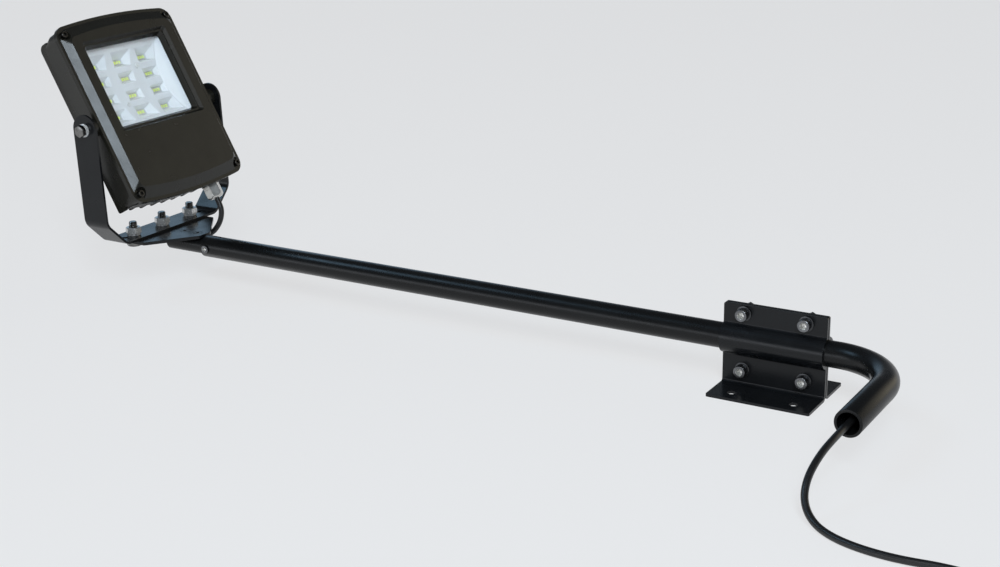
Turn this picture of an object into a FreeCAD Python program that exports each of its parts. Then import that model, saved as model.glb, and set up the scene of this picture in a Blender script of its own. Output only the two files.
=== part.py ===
import FreeCAD, Part
import math
import os

V = FreeCAD.Vector

# Frame: the arm runs along X, with the lamp at its -X end and the tail bent to -Y. Z is up.
# The clamp stands on Z = 0 and the origin is the middle of its four foot holes.

# Arm tube
ARM_OD = 26.9
ARM_REACH = 747.0
TAIL_X = 132.0
TAIL_REACH = 160.0
ARM_BEND_R = 67.0
TUBE_EDGE = 0.7

# Clamp of two pressed halves
CLAMP_LENGTH = 110.0
CLAMP_T = 3.0
CLAMP_GAP = 1.5
CLAMP_FIT = 0.05
CLAMP_FOLD_R = 2.5
CLAMP_CORNER_R = 2.0
FOOT_REACH = 46.5
FOOT_HOLE_D = 9.0
FOOT_HOLE_Y = 31.0
CLAMP_SCREW_X = 33.0
LOWER_SCREW_Z = 18.5
LOWER_LAND = 15.5
UPPER_LAND = 12.0
TOP_MARGIN = 9.0

# Fasteners: thread, width across flats or head, head height
THREAD_CLEAR = 0.05
HOLE_CLEAR = 0.3
CLAMP_SCREW_D = 8.0
CLAMP_SCREW_HEAD_D = 13.0
CLAMP_SCREW_HEAD_H = 8.0
CLAMP_SCREW_SOCKET = 6.0
CLAMP_NUT_AF = 13.0
CLAMP_NUT_H = 8.0
CLAMP_WASHER_D = 16.0
CLAMP_WASHER_T = 1.6
CLAMP_SCREW_SPARE = 1.5
YOKE_BOLT_D = 10.0
YOKE_BOLT_AF = 17.0
YOKE_BOLT_HEAD_H = 6.4
YOKE_NUT_H = 8.0
YOKE_WASHER_D = 16.0
YOKE_WASHER_T = 2.0
YOKE_BOLT_SPARE = 7.0
LOCK_SCREW_D = 6.0
LOCK_SCREW_HEAD_D = 10.0
LOCK_SCREW_HEAD_H = 3.3
LOCK_SCREW_SOCKET = 4.0
LOCK_SCREW_EDGE = 9.0
LOCK_TIP_CLEAR = 0.3
BEZEL_SCREW_D = 5.0
BEZEL_SCREW_HEAD_D = 8.5
BEZEL_SCREW_HEAD_H = 5.0
BEZEL_SCREW_SOCKET = 4.0
BEZEL_SCREW_LENGTH = 20.0
SCREW_TIP_ROOM = 1.0
PLATE_SCREW_D = 6.0
PLATE_SCREW_HEAD_D = 11.6
PLATE_SCREW_SOCKET = 4.0
PLATE_SCREW_SPARE = 1.2
SOCKET_DEPTH_SHARE = 0.55
NUT_CHAMFER = 1.2

# Spigot and the tapering plate on it
SPIGOT_OD = 21.3
SPIGOT_CLEAR = 0.08
SPIGOT_WALL = 2.6
SPIGOT_OUT = 57.0
SPIGOT_IN = 60.0
PLATE_T = 4.0
PLATE_HALF_W = 64.0
NOSE_HALF_W = 9.5
NOSE_CLEAR = 2.0
PLATE_CORNER_R = 4.0
PLATE_REAR_OVER = 1.0
PLATE_SHOULDER_RUN = 10.0
PLATE_SCREW_BACK = (12.0, 33.0)
GROMMET_BACK = 33.0
GROMMET_HOLE_D = 11.0
GROMMET_FLANGE_D = 15.0
GROMMET_FLANGE_T = 2.0
GROMMET_CLEAR = 0.1

# Yoke strap
YOKE_OFFSET = 71.5
YOKE_W = 36.0
YOKE_T = 3.0
YOKE_BEND_R = 13.0
YOKE_FLAT_HALF = 80.0
YOKE_BOLT_Y = 51.0
YOKE_SPARE_HOLE_Y = 67.0
YOKE_SPARE_HOLE_D = 8.0
PIVOT_HEIGHT = 145.3
PIVOT_BACK = 4.5
SIDE_GAP = 10.5
PIVOT_RUN_CLEAR = 0.08
PIVOT_BOLT_D = 8.0
PIVOT_BOLT_AF = 13.0
PIVOT_BOLT_HEAD_H = 5.3
PIVOT_WASHER_D = 16.0
PIVOT_WASHER_T = 1.6
PIVOT_SPRING_D = 14.4
PIVOT_SPRING_T = 2.0
PIVOT_BOLT_GRIP = 15.0
BOSS_R = 11.0
BOSS_CLEAR = 0.3
BOSS_BEZEL_GAP = 0.7

# Lamp head, drawn in its own frame: pivot axis along Y at the origin, front to +X, top to +Z
TILT = 28.9
FLANGE_FRONT = 11.3
HEAD_CENTRE = 9.7
BEZEL_HALF_W = 97.5
BEZEL_HALF_H = 119.0
BEZEL_CORNER_R = 16.0
ARCH_SAG = 6.0
FLANGE_T = 5.0
PANEL_RISE = 7.0
PANEL_FOOT_INSET = 4.0
PANEL_SIDE_SLOPE = 8.5
PANEL_END_SLOPE = 12.0
PANEL_CORNER_R = 10.0
PANEL_WALL = 4.0
BEZEL_SCREW_Y = 87.0
BEZEL_SCREW_Z = 103.6
SCREW_POCKET_R = 7.5
WINDOW_CENTRE = 30.8
WINDOW_HALF_W = 63.0
WINDOW_HALF_H = 50.0
WINDOW_BEVEL = 8.5
WINDOW_LEDGE_W = 2.0
WINDOW_LEDGE_IN = 3.5
WINDOW_LEDGE_DEPTH = 4.0
WINDOW_CORNER_R = 4.0
GLASS_SET_BACK = 3.0
GLASS_GASKET_T = 1.0
GLASS_GASKET_W = 4.0
GLASS_T = 4.0
GLASS_LAP = 5.0
GLASS_CLEAR = 0.3
GASKET_T = 1.5
GASKET_W = 5.0
HOUSING_INSET = 2.0
HOUSING_DEPTH = 25.5
HOUSING_DRAFT = 4.0
HOUSING_END_DRAFT = 1.0
HOUSING_BACK_R = 5.0
SHOULDER_SHARE = 0.5
SHOULDER_DROP = 4.5
SHOULDER_R = 6.0
HOUSING_WALL = 5.0
HOUSING_FLOOR = 2.6
SCREW_BOSS_R = 6.5
FIN_COUNT = 11
FIN_T = 3.0
FIN_EDGE_DEPTH = 8.5
FIN_CROWN = 3.0
FIN_CORNER_R = 2.5
FIN_LOW_HALF = 112.3
FIN_TOP_DROP = 1.5
FIN_TOP_R = 8.0
FIN_ROOT = 5.0
FIN_SINK = 1.0

# Light engine inside the head
BOARD_T = 1.6
BOARD_LAP = 4.0
LED_COLUMNS = 3
LED_ROWS = 4
LED_PITCH_Y = 42.0
LED_PITCH_Z = 22.5
LED_W = 13.0
LED_H = 6.0
LED_T = 0.8
POCKET_FOOT_W = 18.6
POCKET_FOOT_H = 7.2
POCKET_FLARE_Y = 0.55
POCKET_FLARE_Z = 0.5
DISH_DEPTH = 5.1
DISH_R = 116.0
DISH_HALF_W = 55.0
DISH_END_FLARE = 0.76
REFLECTOR_T = 1.2
REFLECTOR_RIM_W = 4.5
REFLECTOR_CLEAR = 0.2
DRIVER_W = 112.0
DRIVER_H = 56.0
DRIVER_D = 20.0
DRIVER_EDGE = 3.0
DRIVER_DROP = 68.0
DRIVER_EAR = 8.0
DRIVER_EAR_T = 3.0
REFLECTOR_SCREW_D = 3.0
REFLECTOR_SCREW_HEAD_D = 5.6
REFLECTOR_SCREW_HEAD_H = 2.0
REFLECTOR_SCREW_SOCKET = 2.0
REFLECTOR_BOSS_R = 3.6
REFLECTOR_BOSS_RISE = 0.3

# Cable gland in the lower end of the housing
GLAND_Y = 47.0
GLAND_BACK = 17.0
GLAND_THREAD_D = 16.0
GLAND_AF = 19.0
GLAND_HEX_H = 5.0
GLAND_NUT_H = 13.0
GLAND_DOME_R = 6.0
GLAND_THREAD_IN = 9.0
GLAND_THREAD_OUT = 8.0
GLAND_OUT_D = 14.0
SEAL_CLEAR = 0.1
SEAL_WALL = 1.6
SEAL_LENGTH = 10.0
GLAND_PAD_RISE = 2.5
GLAND_PAD_MARGIN = 2.0

# Flex: one cable from the lamp, through spigot and arm, out of the tail
FLEX_D = 6.8
FLEX_FLOOR_CLEAR = 0.1
LEAD_SPLIT_GAP = 0.3
LEAD_TURN_R = 7.0
FREE_FIRST_RUN = 28.0
FREE_ROUTE = (
    (128.5, -219.0, 44.0),
    (126.3, -244.0, 31.0),
    (129.9, -260.0, 16.8),
    (142.8, -271.9, 5.7),
    (164.0, -285.0, 3.5),
    (193.0, -294.0, 3.5),
    (226.0, -296.0, 3.5),
    (262.0, -292.0, 4.3),
)
FREE_LAST_RUN = 40.0
LOOP_FIRST_RUN = 10.0
LOOP_LAST_RUN = 10.5
LOOP_ROUTE = (
    (20.0, 33.4, 30.0),
    (19.6, 31.0, 20.8),
    (16.9, 27.6, 12.5),
    (10.3, 23.2, 3.4),
)
ARC_SHARE = 0.45

# Put-away coil of the flex, on the floor past the free stretch
COIL_X = 352.0
COIL_Y = -341.0
COIL_R = 41.0
COIL_PITCH = 7.3
COIL_TURNS = 2.5
TIE_W = 4.0
TIE_T = 1.2
TIE_CLEAR = 0.4
TIE_HEAD = 6.0
CORE_COUNT = 3
CORE_D = 2.4
CORE_LENGTH = 32.0
CORE_BARE = 8.0
WIRE_D = 1.3

# Places that follow from the sizes above
ARM_R = ARM_OD / 2
SPIGOT_R = SPIGOT_OD / 2
FLEX_R = FLEX_D / 2
CHANNEL_IN_R = ARM_R + CLAMP_FIT
CHANNEL_OUT_R = CHANNEL_IN_R + CLAMP_T
AXIS_Z = LOWER_SCREW_Z + LOWER_LAND + CHANNEL_OUT_R
UPPER_SCREW_Z = AXIS_Z + CHANNEL_OUT_R + UPPER_LAND
CLAMP_TOP = UPPER_SCREW_Z + TOP_MARGIN
CLAMP_FACE = CLAMP_GAP / 2 + CLAMP_T
ARM_END_X = -ARM_REACH
SPIGOT_END_X = ARM_END_X - SPIGOT_OUT
LEAD_SPLIT_X = ARM_END_X + SPIGOT_IN
NOSE_X = ARM_END_X - NOSE_CLEAR
YOKE_X = ARM_END_X - YOKE_OFFSET
PIVOT_X = YOKE_X - PIVOT_BACK
PLATE_BOTTOM = AXIS_Z + SPIGOT_R
PLATE_TOP = PLATE_BOTTOM + PLATE_T
STRAP_TOP = PLATE_TOP + YOKE_T
PIVOT_Z = PLATE_TOP + PIVOT_HEIGHT
LEG_IN = BEZEL_HALF_W + SIDE_GAP
LEG_OUT = LEG_IN + YOKE_T
GROMMET_X = ARM_END_X - GROMMET_BACK
BEZEL_BACK = FLANGE_FRONT - FLANGE_T
PANEL_FRONT = FLANGE_FRONT + PANEL_RISE
LIP_BACK = FLANGE_FRONT - GLASS_SET_BACK
GLASS_FRONT = LIP_BACK - GLASS_GASKET_T
GLASS_BACK = GLASS_FRONT - GLASS_T
HOUSING_FRONT = BEZEL_BACK - GASKET_T
HOUSING_BACK = HOUSING_FRONT - HOUSING_DEPTH
HOUSING_INSIDE = HOUSING_BACK + HOUSING_FLOOR
BOARD_FRONT = HOUSING_INSIDE + BOARD_T
GLAND_X = FLANGE_FRONT - GLAND_BACK
WINDOW_Z = HEAD_CENTRE + WINDOW_CENTRE
COIL_LOW_Z = FLEX_R + FLEX_FLOOR_CLEAR + TIE_T + TIE_CLEAR


def box(x0, x1, y0, y1, z0, z1):
    """Block between two corners."""
    return Part.makeBox(x1 - x0, y1 - y0, z1 - z0, V(x0, y0, z0))


def rod(start, direction, radius, length):
    """Round bar from a point along a direction."""
    return Part.makeCylinder(radius, length, start, direction)


def ring(start, direction, outer_r, inner_r, length):
    """Washer or tube length."""
    return rod(start, direction, outer_r, length).cut(rod(start, direction, inner_r, length))


def side_axes(direction):
    """Two unit vectors square to a direction and to each other."""
    helper = V(0, 0, 1) if abs(direction.z) < 0.9 else V(1, 0, 0)
    first = direction.cross(helper).normalize()
    return first, direction.cross(first).normalize()


def hexagon(start, direction, across_flats, length):
    """Six-sided bar from a point along a direction, with a corner on its second side axis."""
    first, second = side_axes(direction)
    corner = across_flats / math.sqrt(3)
    points = []
    for i in range(7):
        angle = math.radians(30 + 60 * i)
        points.append(start + first * (corner * math.cos(angle)) + second * (corner * math.sin(angle)))
    return Part.Face(Part.makePolygon(points)).extrude(direction * length)


def broken_hexagon(start, direction, across_flats, length, outer_only):
    """Six-sided bar whose corners are turned off at its far end, or at both ends."""
    blank = rod(start, direction, across_flats / math.sqrt(3), length)
    far = start + direction * length
    rims = [e for e in blank.Edges if is_rim(e, far) or (not outer_only and is_rim(e, start))]
    return hexagon(start, direction, across_flats, length).common(blank.makeChamfer(NUT_CHAMFER, rims))


def is_rim(edge, centre):
    """True for a circular edge about a given centre."""
    curve = edge.Curve
    return hasattr(curve, "Center") and curve.Center.distanceToPoint(centre) < 1e-6


def cap_screw(seat, direction, thread, head_d, head_h, socket, length):
    """Socket cap screw: head behind the seat, shank ahead of it."""
    top = seat - direction * head_h
    head = rod(top, direction, head_d / 2, head_h)
    head = head.makeChamfer(head_h / 10, [e for e in head.Edges if is_rim(e, top)])
    body = head.fuse(rod(seat, direction, thread / 2, length)).removeSplitter()
    return body.cut(hexagon(top, direction, socket, head_h * SOCKET_DEPTH_SHARE))


def hex_bolt(seat, direction, thread, across_flats, head_h, length):
    """Hexagon bolt: head behind the seat, shank ahead of it."""
    head = broken_hexagon(seat, direction * -1, across_flats, head_h, True)
    shank = rod(seat, direction, thread / 2, length)
    tip = seat + direction * length
    shank = shank.makeChamfer(thread / 10, [e for e in shank.Edges if is_rim(e, tip)])
    return head.fuse(shank).removeSplitter()


def nut(seat, direction, thread, across_flats, height):
    """Hexagon nut standing on its seat."""
    body = broken_hexagon(seat, direction, across_flats, height, False)
    return body.cut(rod(seat, direction, thread / 2 + THREAD_CLEAR, height))


def washer(seat, direction, thread, outer_d, thickness):
    """Plain washer standing on its seat, round a thread."""
    return ring(seat, direction, outer_d / 2, thread / 2 + HOLE_CLEAR, thickness)


def edges_along(shape, axis, test):
    """Straight edges of a shape that run along an axis and whose middle passes a test."""
    found = []
    for edge in shape.Edges:
        if not isinstance(edge.Curve, Part.Line):
            continue
        run = edge.Vertexes[1].Point - edge.Vertexes[0].Point
        if abs(abs(run.normalize().dot(axis)) - 1) < 1e-6 and test(edge.CenterOfMass):
            found.append(edge)
    return found


def wire_of(points):
    """Closed wire: a point is joined by a line, a pair of points is an arc's middle and end."""
    edges = []
    last = points[0]
    for item in points[1:]:
        if isinstance(item, tuple):
            edges.append(Part.Arc(last, item[0], item[1]).toShape())
            last = item[1]
        else:
            edges.append(Part.makeLine(last, item))
            last = item
    return Part.Wire(edges)


def arched_wire(x, half_w, half_h, corner_r):
    """Lamp outline in a plane of constant X: straight sides, arched ends, round corners."""
    arch_r = (half_w ** 2 + ARCH_SAG ** 2) / (2 * ARCH_SAG)
    arch_z = half_h - arch_r
    fillet_y = half_w - corner_r
    fillet_z = arch_z + math.sqrt((arch_r - corner_r) ** 2 - fillet_y ** 2)
    reach = arch_r / (arch_r - corner_r)
    touch_y = fillet_y * reach
    touch_z = arch_z + (fillet_z - arch_z) * reach
    half_turn = math.atan2(touch_z - fillet_z, touch_y - fillet_y) / 2
    mid_y = fillet_y + corner_r * math.cos(half_turn)
    mid_z = fillet_z + corner_r * math.sin(half_turn)

    def at(y, z):
        return V(x, y, HEAD_CENTRE + z)

    return wire_of([
        at(half_w, -fillet_z),
        at(half_w, fillet_z),
        (at(mid_y, mid_z), at(touch_y, touch_z)),
        (at(0, half_h), at(-touch_y, touch_z)),
        (at(-mid_y, mid_z), at(-half_w, fillet_z)),
        at(-half_w, -fillet_z),
        (at(-mid_y, -mid_z), at(-touch_y, -touch_z)),
        (at(0, -half_h), at(touch_y, -touch_z)),
        (at(mid_y, -mid_z), at(half_w, -fillet_z)),
    ])


def arch_drop(y, half_w):
    """How far the arched end lies below its middle at a given Y."""
    arch_r = (half_w ** 2 + ARCH_SAG ** 2) / (2 * ARCH_SAG)
    return arch_r - math.sqrt(arch_r ** 2 - y ** 2)


def arched_block(x0, size0, x1, size1):
    """Solid between two lamp outlines, each given as half width, half height and corner radius."""
    return Part.makeLoft([arched_wire(x0, *size0), arched_wire(x1, *size1)], True, True)


def rounded_wire(x, half_w, half_h, corner_r, z):
    """Rounded rectangle in a plane of constant X, centred on Y = 0 and a given Z."""
    in_w = half_w - corner_r
    in_h = half_h - corner_r
    bow = corner_r * math.sqrt(0.5)

    def at(y, up):
        return V(x, y, z + up)

    return wire_of([
        at(half_w, -in_h),
        at(half_w, in_h),
        (at(in_w + bow, in_h + bow), at(in_w, half_h)),
        at(-in_w, half_h),
        (at(-in_w - bow, in_h + bow), at(-half_w, in_h)),
        at(-half_w, -in_h),
        (at(-in_w - bow, -in_h - bow), at(-in_w, -half_h)),
        at(in_w, -half_h),
        (at(in_w + bow, -in_h - bow), at(half_w, -in_h)),
    ])


def rounded_block(x0, size0, x1, size1, z):
    """Solid between two rounded rectangles, each given as half width, half height and corner radius."""
    return Part.makeLoft([rounded_wire(x0, *size0, z), rounded_wire(x1, *size1, z)], True, True)


def to_world(shape):
    """Lean the lamp head back and carry it to its pivot."""
    placed = shape.copy()
    placed.rotate(V(0, 0, 0), V(0, 1, 0), -TILT)
    placed.translate(V(PIVOT_X, 0, PIVOT_Z))
    return placed


def point_to_world(point):
    """World place of a point of the lamp head."""
    return FreeCAD.Rotation(V(0, 1, 0), -TILT).multVec(point) + V(PIVOT_X, 0, PIVOT_Z)


def route_wire(points):
    """Straight runs joined by tangent arcs, as large as the shorter run beside each corner allows."""
    edges = []
    radii = []
    last = points[0]
    for before, corner, after in zip(points, points[1:], points[2:]):
        back = (before - corner).normalize()
        ahead = (after - corner).normalize()
        turn = math.pi - back.getAngle(ahead)
        reach = ARC_SHARE * min(before.distanceToPoint(corner), after.distanceToPoint(corner))
        radius = reach / math.tan(turn / 2)
        radii.append(radius)
        start = corner + back * reach
        end = corner + ahead * reach
        inward = (back + ahead).normalize()
        middle = corner + inward * (radius / math.cos(turn / 2) - radius)
        edges.append(Part.makeLine(last, start))
        edges.append(Part.Arc(start, middle, end).toShape())
        last = end
    edges.append(Part.makeLine(last, points[-1]))
    return Part.Wire(edges), radii


def closed_solid(faces):
    """Solid inside a closed set of faces."""
    shell = Part.makeShell(faces)
    shell.sewShape()
    if Part.makeSolid(shell).Volume < 0:
        shell.reverse()
    return Part.makeSolid(shell)


def tube_along(wire, radius):
    """Solid round bar along lines and arcs: a cylinder for each line, part of a torus for each arc."""
    edges = wire.OrderedEdges
    start = edges[0].valueAt(edges[0].FirstParameter)
    section = Part.makeCircle(radius, start, edges[0].tangentAt(edges[0].FirstParameter))
    faces = [Part.Face(Part.Wire([section]))]
    for edge in edges:
        first, last = edge.FirstParameter, edge.LastParameter
        if isinstance(edge.Curve, Part.Line):
            move = edge.valueAt(last) - edge.valueAt(first)
            faces.append(section.extrude(move))
            section = section.translated(move)
        else:
            curve = edge.Curve
            turn = math.degrees(last - first)
            faces.append(section.revolve(curve.Center, curve.Axis, turn))
            section = section.rotated(curve.Center, curve.Axis, turn)
    faces.append(Part.Face(Part.Wire([section])))
    return closed_solid(faces)


def report_tube(name, wire, tube, radius, radii):
    """Print the radii of a tube and compare its volume with section times length."""
    share = tube.Volume / (math.pi * radius ** 2 * wire.Length)
    print(name, "length", round(wire.Length, 1), "volume share", round(share, 4))
    print(name, "radii", [round(r, 1) for r in radii])


def biarc(p0, t0, p1, t1):
    """Two arcs that leave p0 along t0 and reach p1 along t1."""
    across = p1 - p0
    both = t0 + t1
    spread = 2 * (1 - t0.dot(t1))
    along = across.dot(both)
    reach = (math.sqrt(along ** 2 + spread * across.dot(across)) - along) / spread
    q0 = p0 + t0 * reach
    q1 = p1 - t1 * reach
    joint = (q0 + q1) * 0.5
    edges = []
    for start, pole, end in ((p0, q0, joint), (joint, q1, p1)):
        middle = (start + end) * 0.5
        half_chord = start.distanceToPoint(middle)
        rise = pole.distanceToPoint(middle)
        radius = half_chord * start.distanceToPoint(pole) / rise
        sagitta = radius - math.sqrt(radius ** 2 - half_chord ** 2)
        edges.append(Part.Arc(start, middle + (pole - middle) * (sagitta / rise), end).toShape())
    return edges


def coil_point(turns):
    """Centre of the flex after a number of turns: in along the floor, up a layer, out on top."""
    climb_start = math.ceil(COIL_TURNS / 2) - 1
    reverse = climb_start + 0.25
    inward = COIL_PITCH * min(turns, reverse)
    outward = COIL_PITCH * max(turns - reverse, 0)
    radius = COIL_R - inward + outward
    share = min(max((turns - climb_start) / 0.5, 0), 1)
    angle = math.pi / 2 - 2 * math.pi * turns
    height = COIL_LOW_Z + COIL_PITCH * share * share * (3 - 2 * share)
    return V(COIL_X + radius * math.cos(angle), COIL_Y + radius * math.sin(angle), height)


def coil_tangent(turns):
    """Unit direction of the flex after a number of turns."""
    step = 1e-4
    return (coil_point(turns + step) - coil_point(turns - step)).normalize()


def coil_wire():
    """Path of the coil: biarcs over quarter turns, with a straight end of one diameter at the start."""
    quarters = int(round(COIL_TURNS * 4))
    start = coil_point(0)
    lead_in = start - coil_tangent(0) * FLEX_D
    edges = [Part.makeLine(lead_in, start)]
    for i in range(quarters):
        t0, t1 = i / 4, (i + 1) / 4
        edges += biarc(coil_point(t0), coil_tangent(t0), coil_point(t1), coil_tangent(t1))
    end = coil_point(quarters / 4)
    edges.append(Part.makeLine(end, end + coil_tangent(quarters / 4) * FLEX_D))
    return Part.Wire(edges)


def least_gap(wire):
    """Least clear distance of a tube along a wire to itself, away from its own near neighbours."""
    points = wire.discretize(Number=240)
    step = wire.Length / (len(points) - 1)
    apart = int(2.5 * FLEX_D / step)
    least = min(points[i].distanceToPoint(points[j])
                for i in range(len(points)) for j in range(i + apart, len(points)))
    return least - FLEX_D


def save(name, *solids):
    """Write one node, as one solid or a group of separate solids."""
    shape = solids[0] if len(solids) == 1 else Part.makeCompound(list(solids))
    if not shape.isValid():
        print("not valid:", name)
    print(name, "solids", len(shape.Solids), "volume", round(shape.Volume, 1))
    shape.exportStep("parts/" + name + ".step")


def clamp_places():
    """X and Z of the four clamp screws."""
    return [(x, z) for z in (LOWER_SCREW_Z, UPPER_SCREW_Z) for x in (-CLAMP_SCREW_X, CLAMP_SCREW_X)]


def clamp_half():
    """Front half of the clamp: flange, half-round channel, web and foot, folded from one sheet."""
    x0 = -CLAMP_LENGTH / 2
    seam = -CLAMP_GAP / 2
    face = -CLAMP_FACE
    in_rise = math.sqrt(CHANNEL_IN_R ** 2 - seam ** 2)
    out_rise = math.sqrt(CHANNEL_OUT_R ** 2 - face ** 2)
    outer_fold = CLAMP_FOLD_R + CLAMP_T
    bow = 1 - math.sqrt(0.5)

    def at(y, z):
        return V(x0, y, z)

    profile = wire_of([
        at(seam, CLAMP_TOP),
        at(seam, AXIS_Z + in_rise),
        (at(-CHANNEL_IN_R, AXIS_Z), at(seam, AXIS_Z - in_rise)),
        at(seam, outer_fold),
        (at(seam - outer_fold * bow, outer_fold * bow), at(seam - outer_fold, 0)),
        at(-FOOT_REACH, 0),
        at(-FOOT_REACH, CLAMP_T),
        at(face - CLAMP_FOLD_R, CLAMP_T),
        (at(face - CLAMP_FOLD_R * bow, CLAMP_T + CLAMP_FOLD_R * bow), at(face, CLAMP_T + CLAMP_FOLD_R)),
        at(face, AXIS_Z - out_rise),
        (at(-CHANNEL_OUT_R, AXIS_Z), at(face, AXIS_Z + out_rise)),
        at(face, CLAMP_TOP),
        at(seam, CLAMP_TOP),
    ])
    half = Part.Face(profile).extrude(V(CLAMP_LENGTH, 0, 0))
    folds = edges_along(half, V(1, 0, 0), lambda c: abs(c.y - face) < 1e-6
                        and abs(abs(c.z - AXIS_Z) - out_rise) < 1e-6)
    half = half.makeFillet(CLAMP_FOLD_R, folds)
    top_corners = edges_along(half, V(0, 1, 0), lambda c: c.z > CLAMP_TOP - 1e-6)
    foot_corners = edges_along(half, V(0, 0, 1), lambda c: c.y < -FOOT_REACH + 1e-6)
    half = half.makeFillet(CLAMP_CORNER_R, top_corners + foot_corners)
    hole_r = CLAMP_SCREW_D / 2 + HOLE_CLEAR
    holes = [rod(V(x, face, z), V(0, 1, 0), hole_r, CLAMP_T) for x, z in clamp_places()]
    holes += [rod(V(x, -FOOT_HOLE_Y, 0), V(0, 0, 1), FOOT_HOLE_D / 2, CLAMP_T)
              for x in (-CLAMP_SCREW_X, CLAMP_SCREW_X)]
    return half.cut(holes)


def build_clamp():
    """Both clamp halves and the screws that pinch them on the arm."""
    front = clamp_half()
    save("clamp_front", front)
    save("clamp_back", front.mirror(V(0, 0, 0), V(0, 1, 0)))
    toward = V(0, 1, 0)
    grip = 2 * (CLAMP_FACE + CLAMP_WASHER_T) + CLAMP_NUT_H + CLAMP_SCREW_SPARE
    screws, washers, nuts = [], [], []
    for x, z in clamp_places():
        front_face = V(x, -CLAMP_FACE, z)
        back_face = V(x, CLAMP_FACE, z)
        seat = front_face - toward * CLAMP_WASHER_T
        screws.append(cap_screw(seat, toward, CLAMP_SCREW_D, CLAMP_SCREW_HEAD_D, CLAMP_SCREW_HEAD_H,
                                CLAMP_SCREW_SOCKET, grip))
        washers.append(washer(front_face, toward * -1, CLAMP_SCREW_D, CLAMP_WASHER_D, CLAMP_WASHER_T))
        washers.append(washer(back_face, toward, CLAMP_SCREW_D, CLAMP_WASHER_D, CLAMP_WASHER_T))
        nut_seat = back_face + toward * CLAMP_WASHER_T
        nuts.append(nut(nut_seat, toward, CLAMP_SCREW_D, CLAMP_NUT_AF, CLAMP_NUT_H))
    save("clamp_screws", *screws)
    save("clamp_washers", *washers)
    save("clamp_nuts", *nuts)


def arm_path(start_x):
    """Axis of the arm from a given X, round its bend and out along the tail."""
    bend_x = TAIL_X - ARM_BEND_R
    bow = ARM_BEND_R * math.sqrt(0.5)
    mid = V(bend_x + bow, bow - ARM_BEND_R, AXIS_Z)
    bend_start = V(bend_x, 0, AXIS_Z)
    bend_end = V(TAIL_X, -ARM_BEND_R, AXIS_Z)
    return Part.Wire([
        Part.makeLine(V(start_x, 0, AXIS_Z), bend_start),
        Part.Arc(bend_start, mid, bend_end).toShape(),
        Part.makeLine(bend_end, V(TAIL_X, -TAIL_REACH, AXIS_Z)),
    ])


def build_arm():
    """Arm tube, its locking screw and the flex inside it."""
    bore_r = SPIGOT_R + SPIGOT_CLEAR
    path = arm_path(ARM_END_X)
    ends = (V(ARM_END_X, 0, AXIS_Z), V(TAIL_X, -TAIL_REACH, AXIS_Z))
    tube = tube_along(path, ARM_R).cut(tube_along(path, bore_r))
    rims = [e for e in tube.Edges if any(is_rim(e, c) for c in ends) and e.Curve.Radius > bore_r]
    tube = tube.makeFillet(TUBE_EDGE, rims)

    screw_x = ARM_END_X + LOCK_SCREW_EDGE
    flat_r = math.sqrt(ARM_R ** 2 - (LOCK_SCREW_HEAD_D / 2 + HOLE_CLEAR) ** 2)
    seat = V(screw_x, -flat_r, AXIS_Z)
    inward = V(0, 1, 0)
    tip = flat_r - SPIGOT_R - LOCK_TIP_CLEAR
    tube = tube.cut([
        rod(seat, inward * -1, LOCK_SCREW_HEAD_D / 2 + HOLE_CLEAR, ARM_R),
        rod(seat, inward, LOCK_SCREW_D / 2 + THREAD_CLEAR, flat_r),
    ])
    save("arm_tube", tube)
    save("lock_screw", cap_screw(seat, inward, LOCK_SCREW_D, LOCK_SCREW_HEAD_D, LOCK_SCREW_HEAD_H,
                                 LOCK_SCREW_SOCKET, tip))
    save("arm_lead", tube_along(arm_path(LEAD_SPLIT_X), FLEX_R))


def plate_outline():
    """Mounting plate seen from above: square under the yoke, tapering to a nose at the arm."""
    rear = YOKE_X - YOKE_W / 2 - PLATE_REAR_OVER
    shoulder = YOKE_X + YOKE_W / 2 + PLATE_SHOULDER_RUN
    points = [(rear, -PLATE_HALF_W), (shoulder, -PLATE_HALF_W), (NOSE_X, -NOSE_HALF_W),
              (NOSE_X, NOSE_HALF_W), (shoulder, PLATE_HALF_W), (rear, PLATE_HALF_W)]
    return [V(x, y, PLATE_BOTTOM) for x, y in points]


def yoke_bolt_places():
    """Y of the three yoke bolts."""
    return (-YOKE_BOLT_Y, 0.0, YOKE_BOLT_Y)


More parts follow.
